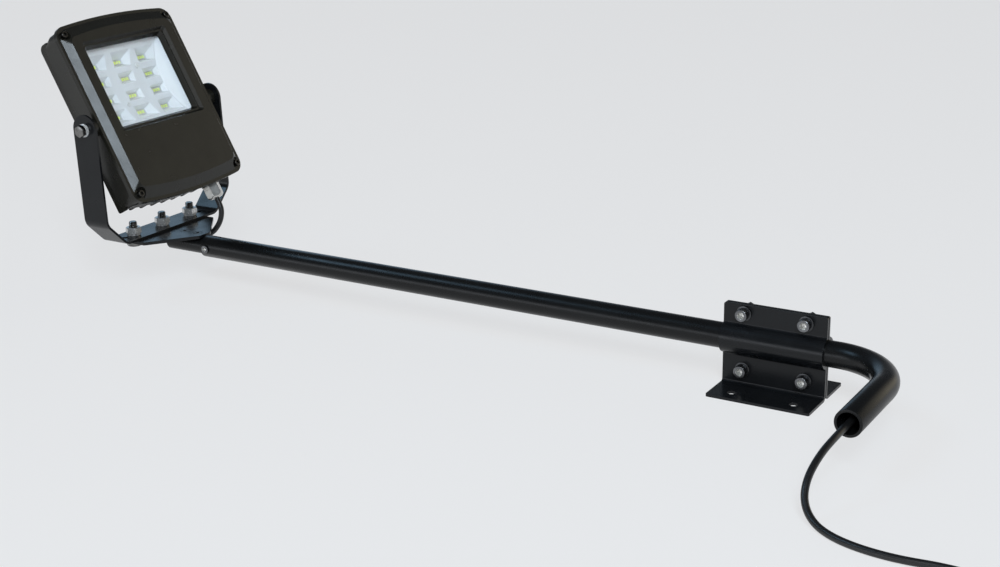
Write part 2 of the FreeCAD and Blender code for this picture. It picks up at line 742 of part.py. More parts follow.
def build_spigot():
    """Spigot tube, its plate, the plate's screws and the grommet for the lead."""
    up = V(0, 0, 1)
    along = V(1, 0, 0)
    spigot_end = V(SPIGOT_END_X, 0, AXIS_Z)
    spigot = ring(spigot_end, along, SPIGOT_R, SPIGOT_R - SPIGOT_WALL, SPIGOT_OUT + SPIGOT_IN)
    grommet_axis = V(GROMMET_X, 0, AXIS_Z)
    side = V(0, 1, 0)
    screw_xs = [NOSE_X - back for back in PLATE_SCREW_BACK]
    thread_r = PLATE_SCREW_D / 2 + THREAD_CLEAR
    tapped = [rod(V(x, 0, AXIS_Z), up, thread_r, SPIGOT_R) for x in screw_xs]
    spigot = spigot.cut([rod(grommet_axis, side, GROMMET_HOLE_D / 2, SPIGOT_R)] + tapped)
    save("spigot_tube", spigot)

    outline = plate_outline()
    plate = Part.Face(Part.makePolygon(outline + outline[:1])).extrude(up * PLATE_T)
    plate = plate.makeFillet(PLATE_CORNER_R, edges_along(plate, up, lambda c: True))
    bolt_r = YOKE_BOLT_D / 2 + HOLE_CLEAR
    holes = [rod(V(YOKE_X, y, PLATE_BOTTOM), up, bolt_r, PLATE_T) for y in yoke_bolt_places()]
    sink = (PLATE_SCREW_HEAD_D - PLATE_SCREW_D) / 2
    screws = []
    for x in screw_xs:
        centre = V(x, 0, PLATE_TOP)
        cone = Part.makeCone(PLATE_SCREW_D / 2, PLATE_SCREW_HEAD_D / 2, sink, centre - up * sink, up)
        reach = PLATE_T + SPIGOT_WALL + PLATE_SCREW_SPARE - sink
        shank = rod(centre - up * sink, up * -1, PLATE_SCREW_D / 2, reach)
        screw = cone.fuse(shank).removeSplitter()
        screws.append(screw.cut(hexagon(centre - up * sink * 0.8, up, PLATE_SCREW_SOCKET, sink)))
        mouth_r = PLATE_SCREW_HEAD_D / 2 + THREAD_CLEAR
        holes.append(Part.makeCone(thread_r, mouth_r, sink, centre - up * sink, up))
        holes.append(rod(V(x, 0, PLATE_BOTTOM), up, thread_r, PLATE_T))
    save("mount_plate", plate.cut(holes))
    save("plate_screws", *screws)

    wall_in = math.sqrt((SPIGOT_R - SPIGOT_WALL) ** 2 - (GROMMET_HOLE_D / 2) ** 2)
    sleeve_r = GROMMET_HOLE_D / 2 - GROMMET_CLEAR
    inner_end = max(wall_in, LEAD_TURN_R)
    sleeve = rod(V(GROMMET_X, inner_end, AXIS_Z), side, sleeve_r, SPIGOT_R - inner_end + GROMMET_FLANGE_T)
    flange = rod(V(GROMMET_X, 0, AXIS_Z), side, GROMMET_FLANGE_D / 2, SPIGOT_R + GROMMET_FLANGE_T)
    flange = flange.cut(rod(spigot_end, along, SPIGOT_R + GROMMET_CLEAR, SPIGOT_OUT))
    grommet = sleeve.fuse(flange).removeSplitter()
    grommet = grommet.cut(rod(grommet_axis, side, FLEX_R + GROMMET_CLEAR, SPIGOT_R + GROMMET_FLANGE_T))
    save("lead_grommet", max(grommet.Solids, key=lambda s: s.Volume))

    entry = V(GROMMET_X, SPIGOT_R + GROMMET_FLANGE_T, AXIS_Z)
    turn_start = V(GROMMET_X, LEAD_TURN_R, AXIS_Z)
    turn_end = V(GROMMET_X + LEAD_TURN_R, 0, AXIS_Z)
    bow = LEAD_TURN_R * (1 - math.sqrt(0.5))
    path = Part.Wire([
        Part.makeLine(entry, turn_start),
        Part.Arc(turn_start, V(GROMMET_X + bow, bow, AXIS_Z), turn_end).toShape(),
        Part.makeLine(turn_end, V(LEAD_SPLIT_X - LEAD_SPLIT_GAP, 0, AXIS_Z)),
    ])
    save("spigot_lead", tube_along(path, FLEX_R))


def yoke_side():
    """Yoke seen from the side, as a block: square strap, legs leaning back, round tops at the pivot."""
    half = YOKE_W / 2
    width = 2 * LEG_OUT
    strap = box(YOKE_X - half, YOKE_X + half, -LEG_OUT, LEG_OUT, PLATE_TOP, STRAP_TOP)
    corners = [(YOKE_X - half, STRAP_TOP), (YOKE_X + half, STRAP_TOP),
               (PIVOT_X + half, PIVOT_Z), (PIVOT_X - half, PIVOT_Z)]
    points = [V(x, -LEG_OUT, z) for x, z in corners]
    legs = Part.Face(Part.makePolygon(points + points[:1])).extrude(V(0, width, 0))
    tops = rod(V(PIVOT_X, -LEG_OUT, PIVOT_Z), V(0, 1, 0), half, width)
    return strap.multiFuse([legs, tops]).removeSplitter()


def build_yoke():
    """U-shaped yoke, folded from strap with 45 degree corners, and its bolts."""
    up = V(0, 0, 1)
    x0 = PIVOT_X - YOKE_W
    lean = math.tan(math.radians(22.5)) * YOKE_T
    corner_z = STRAP_TOP + LEG_IN - YOKE_FLAT_HALF
    top_z = PIVOT_Z + YOKE_W
    inside = [(YOKE_FLAT_HALF, STRAP_TOP), (LEG_IN, corner_z)]
    outside = [(LEG_OUT, corner_z - lean), (YOKE_FLAT_HALF + lean, PLATE_TOP)]
    right = inside + [(LEG_IN, top_z), (LEG_OUT, top_z)] + outside
    left = [(-y, z) for y, z in reversed(right)]
    points = [V(x0, y, z) for y, z in right + left]
    yoke = Part.Face(Part.makePolygon(points + points[:1])).extrude(V(YOKE_X + YOKE_W - x0, 0, 0))
    for places, radius in ((inside, YOKE_BEND_R), (outside, YOKE_BEND_R + YOKE_T)):
        folds = edges_along(yoke, V(1, 0, 0), lambda c: any(
            abs(abs(c.y) - y) < 1e-4 and abs(c.z - z) < 1e-4 for y, z in places))
        yoke = yoke.makeFillet(radius, folds)
    yoke = yoke.common(yoke_side()).removeSplitter()
    bolt_r = YOKE_BOLT_D / 2 + HOLE_CLEAR
    holes = [rod(V(YOKE_X, y, PLATE_TOP), up, bolt_r, YOKE_T) for y in yoke_bolt_places()]
    holes += [rod(V(YOKE_X, y, PLATE_TOP), up, YOKE_SPARE_HOLE_D / 2, YOKE_T)
              for y in (-YOKE_SPARE_HOLE_Y, YOKE_SPARE_HOLE_Y)]
    pivot_r = PIVOT_BOLT_D / 2 + PIVOT_RUN_CLEAR
    holes.append(rod(V(PIVOT_X, -LEG_OUT, PIVOT_Z), V(0, 1, 0), pivot_r, 2 * LEG_OUT))
    save("yoke_bracket", yoke.cut(holes))

    bolts, washers, nuts = [], [], []
    stack = PLATE_T + YOKE_T + YOKE_WASHER_T
    for y in yoke_bolt_places():
        seat = V(YOKE_X, y, PLATE_BOTTOM)
        bolts.append(hex_bolt(seat, up, YOKE_BOLT_D, YOKE_BOLT_AF, YOKE_BOLT_HEAD_H,
                              stack + YOKE_NUT_H + YOKE_BOLT_SPARE))
        top = V(YOKE_X, y, STRAP_TOP)
        washers.append(washer(top, up, YOKE_BOLT_D, YOKE_WASHER_D, YOKE_WASHER_T))
        nuts.append(nut(top + up * YOKE_WASHER_T, up, YOKE_BOLT_D, YOKE_BOLT_AF, YOKE_NUT_H))
    save("yoke_bolts", *bolts)
    save("yoke_washers", *washers)
    save("yoke_nuts", *nuts)


def shrink(size, inset):
    """Half width, half height and corner radius, each smaller by an inset."""
    return tuple(value - inset for value in size)


def grow(size, outset):
    """Half width and half height larger by an outset, with the same corner radius."""
    return (size[0] + outset, size[1] + outset, size[2])


def bezel_size():
    """Outline of the bezel."""
    return (BEZEL_HALF_W, BEZEL_HALF_H, BEZEL_CORNER_R)


def housing_size():
    """Outline of the housing at its front."""
    return shrink(bezel_size(), HOUSING_INSET)


def housing_back_size():
    """Outline of the housing at its back."""
    half_w, half_h, _ = housing_size()
    return (half_w - HOUSING_DRAFT, half_h - HOUSING_END_DRAFT, HOUSING_BACK_R)


def bezel_screw_places():
    """Y and Z of the four corner screws."""
    return [(sy * BEZEL_SCREW_Y, HEAD_CENTRE + sz * BEZEL_SCREW_Z) for sy in (-1, 1) for sz in (-1, 1)]


def glass_size(inset):
    """Half width, half height and corner radius of the glass, less an inset."""
    return (WINDOW_HALF_W + GLASS_LAP - inset, WINDOW_HALF_H + GLASS_LAP - inset, WINDOW_CORNER_R)


def build_bezel():
    """Cast front frame: flange, raised panel with sloping flanks, bevelled window, screw pockets."""
    front = V(1, 0, 0)
    flange = arched_block(BEZEL_BACK, bezel_size(), FLANGE_FRONT, bezel_size())
    foot = shrink(bezel_size(), PANEL_FOOT_INSET)
    crown = (foot[0] - PANEL_SIDE_SLOPE, foot[1] - PANEL_END_SLOPE, PANEL_CORNER_R)
    bezel = flange.fuse(arched_block(FLANGE_FRONT, foot, PANEL_FRONT, crown))
    window = (WINDOW_HALF_W, WINDOW_HALF_H, WINDOW_CORNER_R)
    mouth = grow(window, WINDOW_BEVEL)
    ledge_in = grow(window, WINDOW_LEDGE_IN)
    ledge_out = grow(window, WINDOW_LEDGE_IN + WINDOW_LEDGE_W)
    ledge_x = PANEL_FRONT - WINDOW_LEDGE_DEPTH
    cuts = [rounded_block(LIP_BACK, window, ledge_x, ledge_in, WINDOW_Z),
            rounded_block(ledge_x, ledge_out, PANEL_FRONT, mouth, WINDOW_Z)]
    seat = glass_size(-GLASS_CLEAR)
    cuts.append(rounded_block(BEZEL_BACK, seat, LIP_BACK, seat, WINDOW_Z))
    hollow_top = WINDOW_Z - WINDOW_HALF_H - WINDOW_BEVEL - PANEL_WALL
    hollow_low = HEAD_CENTRE - crown[1] + ARCH_SAG + PANEL_WALL
    hollow = (crown[0] - PANEL_WALL, (hollow_top - hollow_low) / 2, PANEL_CORNER_R)
    hollow_z = (hollow_top + hollow_low) / 2
    cuts.append(rounded_block(BEZEL_BACK, hollow, PANEL_FRONT - PANEL_WALL, hollow, hollow_z))
    for y, z in bezel_screw_places():
        cuts.append(rod(V(FLANGE_FRONT, y, z), front, SCREW_POCKET_R, PANEL_RISE))
        cuts.append(rod(V(BEZEL_BACK, y, z), front, BEZEL_SCREW_D / 2 + HOLE_CLEAR, FLANGE_T))
    save("front_bezel", to_world(bezel.cut(cuts).removeSplitter()))

    screws = [cap_screw(V(FLANGE_FRONT, y, z), front * -1, BEZEL_SCREW_D, BEZEL_SCREW_HEAD_D,
                        BEZEL_SCREW_HEAD_H, BEZEL_SCREW_SOCKET, BEZEL_SCREW_LENGTH)
              for y, z in bezel_screw_places()]
    save("bezel_screws", *[to_world(s) for s in screws])

    outer = housing_size()
    inner = shrink(outer, GASKET_W)
    gasket = arched_block(HOUSING_FRONT, outer, BEZEL_BACK, outer)
    gasket = gasket.cut(arched_block(HOUSING_FRONT, inner, BEZEL_BACK, inner))
    gasket = gasket.cut([rod(V(HOUSING_FRONT, y, z), front, BEZEL_SCREW_D / 2 + HOLE_CLEAR, GASKET_T)
                         for y, z in bezel_screw_places()])
    save("housing_gasket", to_world(max(gasket.Solids, key=lambda s: s.Volume)))

    glass = rounded_block(GLASS_BACK, glass_size(0), GLASS_FRONT, glass_size(0), WINDOW_Z)
    save("window_glass", to_world(glass))
    seal = rounded_block(GLASS_FRONT, glass_size(0), LIP_BACK, glass_size(0), WINDOW_Z)
    gap = glass_size(GLASS_GASKET_W)
    save("glass_gasket", to_world(seal.cut(rounded_block(GLASS_FRONT, gap, LIP_BACK, gap, WINDOW_Z))))


def fin_half_height(y):
    """Half length of a fin, so that its ends stay on the arched and rounded outline of the back."""
    half_w, half_h, corner_r = housing_back_size()
    into_corner = max(abs(y) - (half_w - corner_r), 0)
    rounding = corner_r - math.sqrt(max(corner_r ** 2 - into_corner ** 2, 0))
    return half_h - arch_drop(abs(y), half_w) - rounding


def cooling_fins():
    """Row of fins along the lamp, deeper towards the middle of the back, round at the top."""
    span = housing_back_size()[0] - FIN_T / 2
    fins = []
    for i in range(FIN_COUNT):
        y = -span + 2 * span * i / (FIN_COUNT - 1)
        depth = FIN_EDGE_DEPTH + FIN_CROWN * (1 - (y / span) ** 2)
        half = fin_half_height(y)
        fin = box(HOUSING_BACK - depth, HOUSING_BACK + FIN_ROOT, y - FIN_T / 2, y + FIN_T / 2,
                  HEAD_CENTRE - max(half, FIN_LOW_HALF), HEAD_CENTRE + half - FIN_TOP_DROP)
        top = edges_along(fin, V(0, 1, 0), lambda c: c.x < HOUSING_BACK and c.z > HEAD_CENTRE)
        fin = fin.makeFillet(FIN_TOP_R, top)
        tail = edges_along(fin, V(0, 1, 0), lambda c: c.x < HOUSING_BACK and c.z < HEAD_CENTRE)
        fins.append(fin.makeFillet(FIN_CORNER_R, tail))
    return fins


def gland_pad_z():
    """Z of the flat that carries the cable gland, just proud of the lower end wall."""
    back = (HOUSING_FRONT - GLAND_X) / HOUSING_DEPTH
    half_h = housing_size()[1] - HOUSING_END_DRAFT * back
    return HEAD_CENTRE - half_h + arch_drop(GLAND_Y, housing_size()[0]) - GLAND_PAD_RISE


def led_places():
    """Y and Z of the LED packages."""
    columns = [(i - (LED_COLUMNS - 1) / 2) * LED_PITCH_Y for i in range(LED_COLUMNS)]
    rows = [WINDOW_Z + (i - (LED_ROWS - 1) / 2) * LED_PITCH_Z for i in range(LED_ROWS)]
    return [(y, z) for y in columns for z in rows]


def reflector_screw_places():
    """Y and Z of the two reflector screws, on the ribs between the pockets."""
    return [(LED_PITCH_Y / 2, WINDOW_Z + LED_PITCH_Z), (-LED_PITCH_Y / 2, WINDOW_Z - LED_PITCH_Z)]


def shouldered_block(x_back, back, x_front, front):
    """Solid between two lamp outlines whose upper end falls away towards the back in a sloping shoulder."""
    full = arched_block(x_back, back, x_front, front)
    x_mid = x_front + (x_back - x_front) * SHOULDER_SHARE
    mid = tuple(f + (b - f) * SHOULDER_SHARE for f, b in zip(front, back))
    low = (back[0], back[1] - SHOULDER_DROP, SHOULDER_R)
    sloped = arched_block(x_mid, mid, x_front, front).fuse(arched_block(x_back, low, x_mid, mid))
    upper = box(x_back, x_front, -BEZEL_HALF_W, BEZEL_HALF_W, HEAD_CENTRE, HEAD_CENTRE + BEZEL_HALF_H)
    return full.cut(upper).fuse(sloped.common(upper)).removeSplitter()


def build_housing():
    """Cast back shell with fins, corner bosses, pivot bosses and the gland pad."""
    front = V(1, 0, 0)
    up = V(0, 0, 1)
    outer, back = housing_size(), housing_back_size()
    shell = shouldered_block(HOUSING_BACK, back, HOUSING_FRONT, outer)
    inner = shrink(outer, HOUSING_WALL)
    inner_back = (back[0] - HOUSING_WALL, back[1] - HOUSING_WALL, HOUSING_BACK_R)
    hollow = shouldered_block(HOUSING_INSIDE, inner_back, HOUSING_FRONT, inner)
    bosses = [rod(V(HOUSING_INSIDE, y, z), front, SCREW_BOSS_R, HOUSING_FRONT - HOUSING_INSIDE)
              for y, z in bezel_screw_places()]
    shell = shell.multiFuse(cooling_fins()).cut(hollow.cut(bosses))

    boss_start = outer[0] - HOUSING_WALL
    keep_off = box(HOUSING_FRONT, BOSS_R, 0, BEZEL_HALF_W + BOSS_BEZEL_GAP, -BOSS_R, BOSS_R)
    boss = rod(V(0, boss_start, 0), V(0, 1, 0), BOSS_R, LEG_IN - BOSS_CLEAR - boss_start).cut(keep_off)
    pad_z = gland_pad_z()
    pad_r = GLAND_AF / 2 + GLAND_PAD_MARGIN
    pad = rod(V(GLAND_X, GLAND_Y, pad_z), up, pad_r, GLAND_PAD_RISE + HOUSING_WALL)
    pad = pad.cut(box(HOUSING_FRONT, HOUSING_FRONT + 2 * pad_r, GLAND_Y - pad_r, GLAND_Y + pad_r,
                      pad_z, pad_z + GLAND_PAD_RISE + HOUSING_WALL))
    other_boss = boss.mirror(V(0, 0, 0), V(0, 1, 0))
    shell = shell.multiFuse([boss, other_boss, pad]).removeSplitter()

    pivot_hole_r = PIVOT_BOLT_D / 2 + THREAD_CLEAR
    hole_end = LEG_IN - PIVOT_BOLT_GRIP
    pivot_hole = rod(V(0, hole_end, 0), V(0, 1, 0), pivot_hole_r, PIVOT_BOLT_GRIP)
    cuts = [pivot_hole, pivot_hole.mirror(V(0, 0, 0), V(0, 1, 0))]
    screw_end = FLANGE_FRONT - BEZEL_SCREW_LENGTH - SCREW_TIP_ROOM
    cuts += [rod(V(screw_end, y, z), front, BEZEL_SCREW_D / 2 + THREAD_CLEAR, HOUSING_FRONT - screw_end)
             for y, z in bezel_screw_places()]
    gland_hole_r = GLAND_THREAD_D / 2 + THREAD_CLEAR
    cuts.append(rod(V(GLAND_X, GLAND_Y, pad_z), up, gland_hole_r, GLAND_PAD_RISE + 2 * HOUSING_WALL))
    cuts += [rod(V(HOUSING_BACK + FIN_SINK, y, z), front, REFLECTOR_SCREW_D / 2 + THREAD_CLEAR, HOUSING_FLOOR)
             for y, z in reflector_screw_places()]
    save("rear_housing", to_world(shell.cut(cuts)))


def build_pivots():
    """Bolts, plain washers and spring washers on which the lamp head tilts."""
    bolts, plains, springs = [], [], []
    hole_r = PIVOT_BOLT_D / 2 + THREAD_CLEAR
    for side in (-1, 1):
        inward = V(0, -side, 0)
        outward = V(0, side, 0)
        face = V(0, side * (LEG_OUT + BOSS_CLEAR), 0)
        plains.append(ring(face, outward, PIVOT_WASHER_D / 2, hole_r, PIVOT_WASHER_T))
        face = face + outward * PIVOT_WASHER_T
        springs.append(ring(face, outward, PIVOT_SPRING_D / 2, hole_r, PIVOT_SPRING_T))
        seat = face + outward * PIVOT_SPRING_T
        reach = abs(seat.y) - (LEG_IN - PIVOT_BOLT_GRIP) - HOLE_CLEAR
        bolts.append(hex_bolt(seat, inward, PIVOT_BOLT_D, PIVOT_BOLT_AF, PIVOT_BOLT_HEAD_H, reach))
    save("pivot_bolts", *[to_world(s) for s in bolts])
    save("pivot_washers", *[to_world(s) for s in plains])
    save("spring_washers", *[to_world(s) for s in springs])


def frustum(x0, half0, x1, half1, y, z):
    """Block of plane faces between two rectangles, each given as half width and half height."""
    rings = []
    for x, (half_w, half_h) in ((x0, half0), (x1, half1)):
        rings.append([V(x, y + sy * half_w, z + sz * half_h)
                      for sy, sz in ((1, 1), (-1, 1), (-1, -1), (1, -1))])
    low, high = rings
    loops = [low, high] + [[low[i - 1], low[i], high[i], high[i - 1]] for i in range(4)]
    return closed_solid([Part.Face(Part.makePolygon(loop + loop[:1])) for loop in loops])


def pockets(rim_x, wall):
    """Flaring pockets over the LED packages, from the board to the rim, grown by a wall thickness."""
    rise = rim_x - BOARD_FRONT
    foot = (POCKET_FOOT_W / 2 + wall, POCKET_FOOT_H / 2 + wall)
    mouth = (foot[0] + POCKET_FLARE_Y * rise, foot[1] + POCKET_FLARE_Z * rise)
    return [frustum(BOARD_FRONT, foot, rim_x, mouth, y, z) for y, z in led_places()]


def dish(rim_x, wall):
    """Hollow of the reflector: a shallow cylinder across the lamp, closed by flaring end walls."""
    low_x = BOARD_FRONT + DISH_DEPTH
    axis = V(low_x + DISH_R, -WINDOW_HALF_W * 2, WINDOW_Z)
    drum = rod(axis, V(0, 1, 0), DISH_R + wall, WINDOW_HALF_W * 4)
    foot = DISH_HALF_W + wall
    mouth = foot + DISH_END_FLARE * (rim_x - low_x + wall)
    return frustum(low_x - wall, (foot, DISH_R), rim_x, (mouth, DISH_R), 0, WINDOW_Z).common(drum)


def build_light():
    """LED board and packages, reflector with one pocket to each package, and the driver."""
    front = V(1, 0, 0)
    rim_x = GLASS_BACK - REFLECTOR_CLEAR
    inner = dish(rim_x, 0)
    outer = dish(rim_x, REFLECTOR_T)
    size = outer.BoundBox
    rim = box(rim_x - REFLECTOR_T, rim_x, size.YMin - REFLECTOR_RIM_W, size.YMax + REFLECTOR_RIM_W,
              size.ZMin - REFLECTOR_RIM_W, size.ZMax + REFLECTOR_RIM_W)
    body = outer.fuse(rim).multiFuse(pockets(rim_x, REFLECTOR_T)).cut(inner).cut(pockets(rim_x, 0))
    boss_edge = LED_PITCH_Z + REFLECTOR_BOSS_R
    boss_h = DISH_DEPTH + DISH_R - math.sqrt(DISH_R ** 2 - boss_edge ** 2) + REFLECTOR_BOSS_RISE
    feet = [V(BOARD_FRONT, y, z) for y, z in reflector_screw_places()]
    body = body.multiFuse([rod(foot, front, REFLECTOR_BOSS_R, boss_h) for foot in feet])
    body = body.cut([rod(foot, front, REFLECTOR_SCREW_D / 2 + HOLE_CLEAR, boss_h) for foot in feet])
    save("reflector", to_world(body))

    reach = BOARD_FRONT + boss_h - HOUSING_BACK - FIN_SINK - HOLE_CLEAR
    screws = [cap_screw(foot + front * boss_h, front * -1, REFLECTOR_SCREW_D, REFLECTOR_SCREW_HEAD_D,
                        REFLECTOR_SCREW_HEAD_H, REFLECTOR_SCREW_SOCKET, reach) for foot in feet]
    save("reflector_screws", *[to_world(s) for s in screws])

    half_w = (LED_COLUMNS - 1) / 2 * LED_PITCH_Y + POCKET_FOOT_W / 2 + BOARD_LAP
    half_h = (LED_ROWS - 1) / 2 * LED_PITCH_Z + POCKET_FOOT_H / 2 + BOARD_LAP
    board = box(HOUSING_INSIDE, BOARD_FRONT, -half_w, half_w, WINDOW_Z - half_h, WINDOW_Z + half_h)
    board = board.cut([rod(V(HOUSING_INSIDE, y, z), front, REFLECTOR_SCREW_D / 2 + HOLE_CLEAR, BOARD_T)
                       for y, z in reflector_screw_places()])
    save("led_board", to_world(board))
    chips = [box(BOARD_FRONT, BOARD_FRONT + LED_T, y - LED_W / 2, y + LED_W / 2, z - LED_H / 2, z + LED_H / 2)
             for y, z in led_places()]
    save("led_chips", *[to_world(c) for c in chips])

    driver_z = HEAD_CENTRE - DRIVER_DROP
    half_w, half_h = DRIVER_W / 2, DRIVER_H / 2
    driver = box(HOUSING_INSIDE, HOUSING_INSIDE + DRIVER_D, -half_w, half_w,
                 driver_z - half_h, driver_z + half_h)
    driver = driver.makeFillet(DRIVER_EDGE, edges_along(driver, front, lambda c: True))
    top_x = HOUSING_INSIDE + DRIVER_D - 1e-6
    driver = driver.makeChamfer(DRIVER_EDGE / 3, [e for e in driver.Edges if e.CenterOfMass.x > top_x])
    ears = box(HOUSING_INSIDE, HOUSING_INSIDE + DRIVER_EAR_T, -half_w - DRIVER_EAR, half_w + DRIVER_EAR,
               driver_z - DRIVER_EAR, driver_z + DRIVER_EAR)
    ear_holes = [rod(V(HOUSING_INSIDE, side * (half_w + DRIVER_EAR / 2), driver_z), front,
                     REFLECTOR_SCREW_D / 2 + HOLE_CLEAR, DRIVER_EAR_T) for side in (-1, 1)]
    save("driver_box", to_world(driver.fuse(ears).removeSplitter().cut(ear_holes)))


def lead_exit():
    """Where the flex leaves the gland, in the lamp head's frame."""
    return V(GLAND_X, GLAND_Y, gland_pad_z() - GLAND_HEX_H - GLAND_NUT_H)


def build_gland():
    """Cable gland with its dome nut and seal, and the flex from it to the driver."""
    down = V(0, 0, -1)
    up = V(0, 0, 1)
    pad = V(GLAND_X, GLAND_Y, gland_pad_z())
    bore_r = FLEX_R + SEAL_CLEAR + SEAL_WALL
    body = hexagon(pad, down, GLAND_AF, GLAND_HEX_H)
    body = body.fuse(rod(pad, up, GLAND_THREAD_D / 2, GLAND_THREAD_IN))
    body = body.fuse(rod(pad + down * GLAND_HEX_H, down, GLAND_OUT_D / 2, GLAND_THREAD_OUT)).removeSplitter()
    whole = GLAND_THREAD_IN + GLAND_HEX_H + GLAND_THREAD_OUT
    body = body.cut(rod(pad + up * GLAND_THREAD_IN, down, bore_r + THREAD_CLEAR, whole))
    save("gland_body", to_world(body))

    nut_top = pad + down * GLAND_HEX_H
    nut_end = nut_top + down * GLAND_NUT_H
    blank = rod(nut_top, down, GLAND_AF / math.sqrt(3), GLAND_NUT_H)
    blank = blank.makeFillet(GLAND_DOME_R, [e for e in blank.Edges if is_rim(e, nut_end)])
    dome = hexagon(nut_top, down, GLAND_AF, GLAND_NUT_H).common(blank)
    dome = dome.cut(rod(nut_top, down, GLAND_OUT_D / 2 + THREAD_CLEAR, GLAND_THREAD_OUT + HOLE_CLEAR))
    dome = dome.cut(rod(nut_top, down, FLEX_R + SEAL_CLEAR, GLAND_NUT_H))
    save("gland_nut", to_world(dome))

    seal_low = nut_top + down * GLAND_THREAD_OUT
    save("gland_seal", to_world(ring(seal_low, up, bore_r, FLEX_R + SEAL_CLEAR, SEAL_LENGTH)))
    driver_low = HEAD_CENTRE - DRIVER_DROP - DRIVER_H / 2
    save("head_lead", to_world(rod(nut_end, up, FLEX_R, driver_low - nut_end.z)))


def build_lead_loop():
    """Short loop of flex from the gland, past the plate, to the grommet in the spigot."""
    out = FreeCAD.Rotation(V(0, 1, 0), -TILT).multVec(V(0, 0, -1))
    start = point_to_world(lead_exit()) + out * LEAD_SPLIT_GAP
    end = V(GROMMET_X, SPIGOT_R + GROMMET_FLANGE_T, AXIS_Z)
    points = [start, start + out * LOOP_FIRST_RUN]
    points += [end + V(*offset) for offset in LOOP_ROUTE]
    points += [end + V(0, LOOP_LAST_RUN, 0), end]
    wire, radii = route_wire(points)
    tube = tube_along(wire, FLEX_R)
    report_tube("lamp_lead", wire, tube, FLEX_R, radii)
    save("lamp_lead", tube)


def tie_round_coil(angle, turns):
    """Flat tie round the strands that pass a given side of the coil, with its lock block outside."""
    strands = [coil_point(t) for t in turns]
    centre = V(COIL_X, COIL_Y, 0)
    reach = [V(p.x - COIL_X, p.y - COIL_Y, 0).Length for p in strands]
    slack = FLEX_R + TIE_CLEAR
    r0, r1 = min(reach) - slack, max(reach) + slack
    z0, z1 = min(p.z for p in strands) - slack, max(p.z for p in strands) + slack
    band = box(r0 - TIE_T, r1 + TIE_T, -TIE_W / 2, TIE_W / 2, z0 - TIE_T, z1 + TIE_T)
    band = band.makeFillet(TIE_T + 1, edges_along(band, V(0, 1, 0), lambda c: True))
    hole = box(r0, r1, -TIE_W / 2, TIE_W / 2, z0, z1)
    hole = hole.makeFillet(1.0, edges_along(hole, V(0, 1, 0), lambda c: True))
    middle = (z0 + z1) / 2
    lock = box(r1, r1 + TIE_HEAD, -TIE_HEAD / 2, TIE_HEAD / 2, middle - TIE_HEAD / 2, middle + TIE_HEAD / 2)
    tie = band.cut(hole).fuse(lock).removeSplitter()
    tie.rotate(V(0, 0, 0), V(0, 0, 1), angle)
    tie.translate(centre)
    return tie


def build_flex():
    """Flex outside the tail: free stretch, put-away coil with two ties, bared cores."""
    mouth = V(TAIL_X, -TAIL_REACH, AXIS_Z)
    lead_in = coil_point(0) - coil_tangent(0) * FLEX_D
    points = [mouth, mouth + V(0, -FREE_FIRST_RUN, 0)]
    points += [V(*p) for p in FREE_ROUTE]
    points += [lead_in - coil_tangent(0) * FREE_LAST_RUN, lead_in]
    wire, radii = route_wire(points)
    tube = tube_along(wire, FLEX_R)
    report_tube("flex_free", wire, tube, FLEX_R, radii)
    save("flex_free", tube)

    wound = coil_wire()
    coil = tube_along(wound, FLEX_R)
    report_tube("flex_coil", wound, coil, FLEX_R, [COIL_R - COIL_PITCH * COIL_TURNS / 2, COIL_R])
    print("flex_coil least gap to itself", round(least_gap(wound), 2))
    save("flex_coil", coil)
    save("coil_ties", tie_round_coil(0, (0.25, 1.25, 2.25)), tie_round_coil(180, (0.75, 1.75)))

    last = coil_tangent(COIL_TURNS)
    end = coil_point(COIL_TURNS) + last * FLEX_D
    first, second = side_axes(last)
    spread = (FLEX_R - CORE_D / 2) * 0.7
    cores, wires = [], []
    for i in range(CORE_COUNT):
        angle = 2 * math.pi * i / CORE_COUNT
        start = end + first * (spread * math.cos(angle)) + second * (spread * math.sin(angle))
        cores.append(rod(start, last, CORE_D / 2, CORE_LENGTH - CORE_BARE))
        wires.append(rod(start + last * (CORE_LENGTH - CORE_BARE), last, WIRE_D / 2, CORE_BARE))
    save("flex_cores", *cores)
    save("core_wires", *wires)


def main():
    """Build every node."""
    os.makedirs("parts", exist_ok=True)
    build_clamp()
    build_arm()
    build_spigot()
    build_yoke()
    build_bezel()
    build_housing()
    build_pivots()
    build_light()
    build_gland()
    build_lead_loop()
    build_flex()


main()
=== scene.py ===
"""Sign light on a clamped support arm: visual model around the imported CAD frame, in metres, +Z up."""

import logging
import math
from dataclasses import dataclass
from enum import Enum
from typing import Any, Sequence

import bmesh
import bpy
import numpy as np
from mathutils import Matrix, Vector


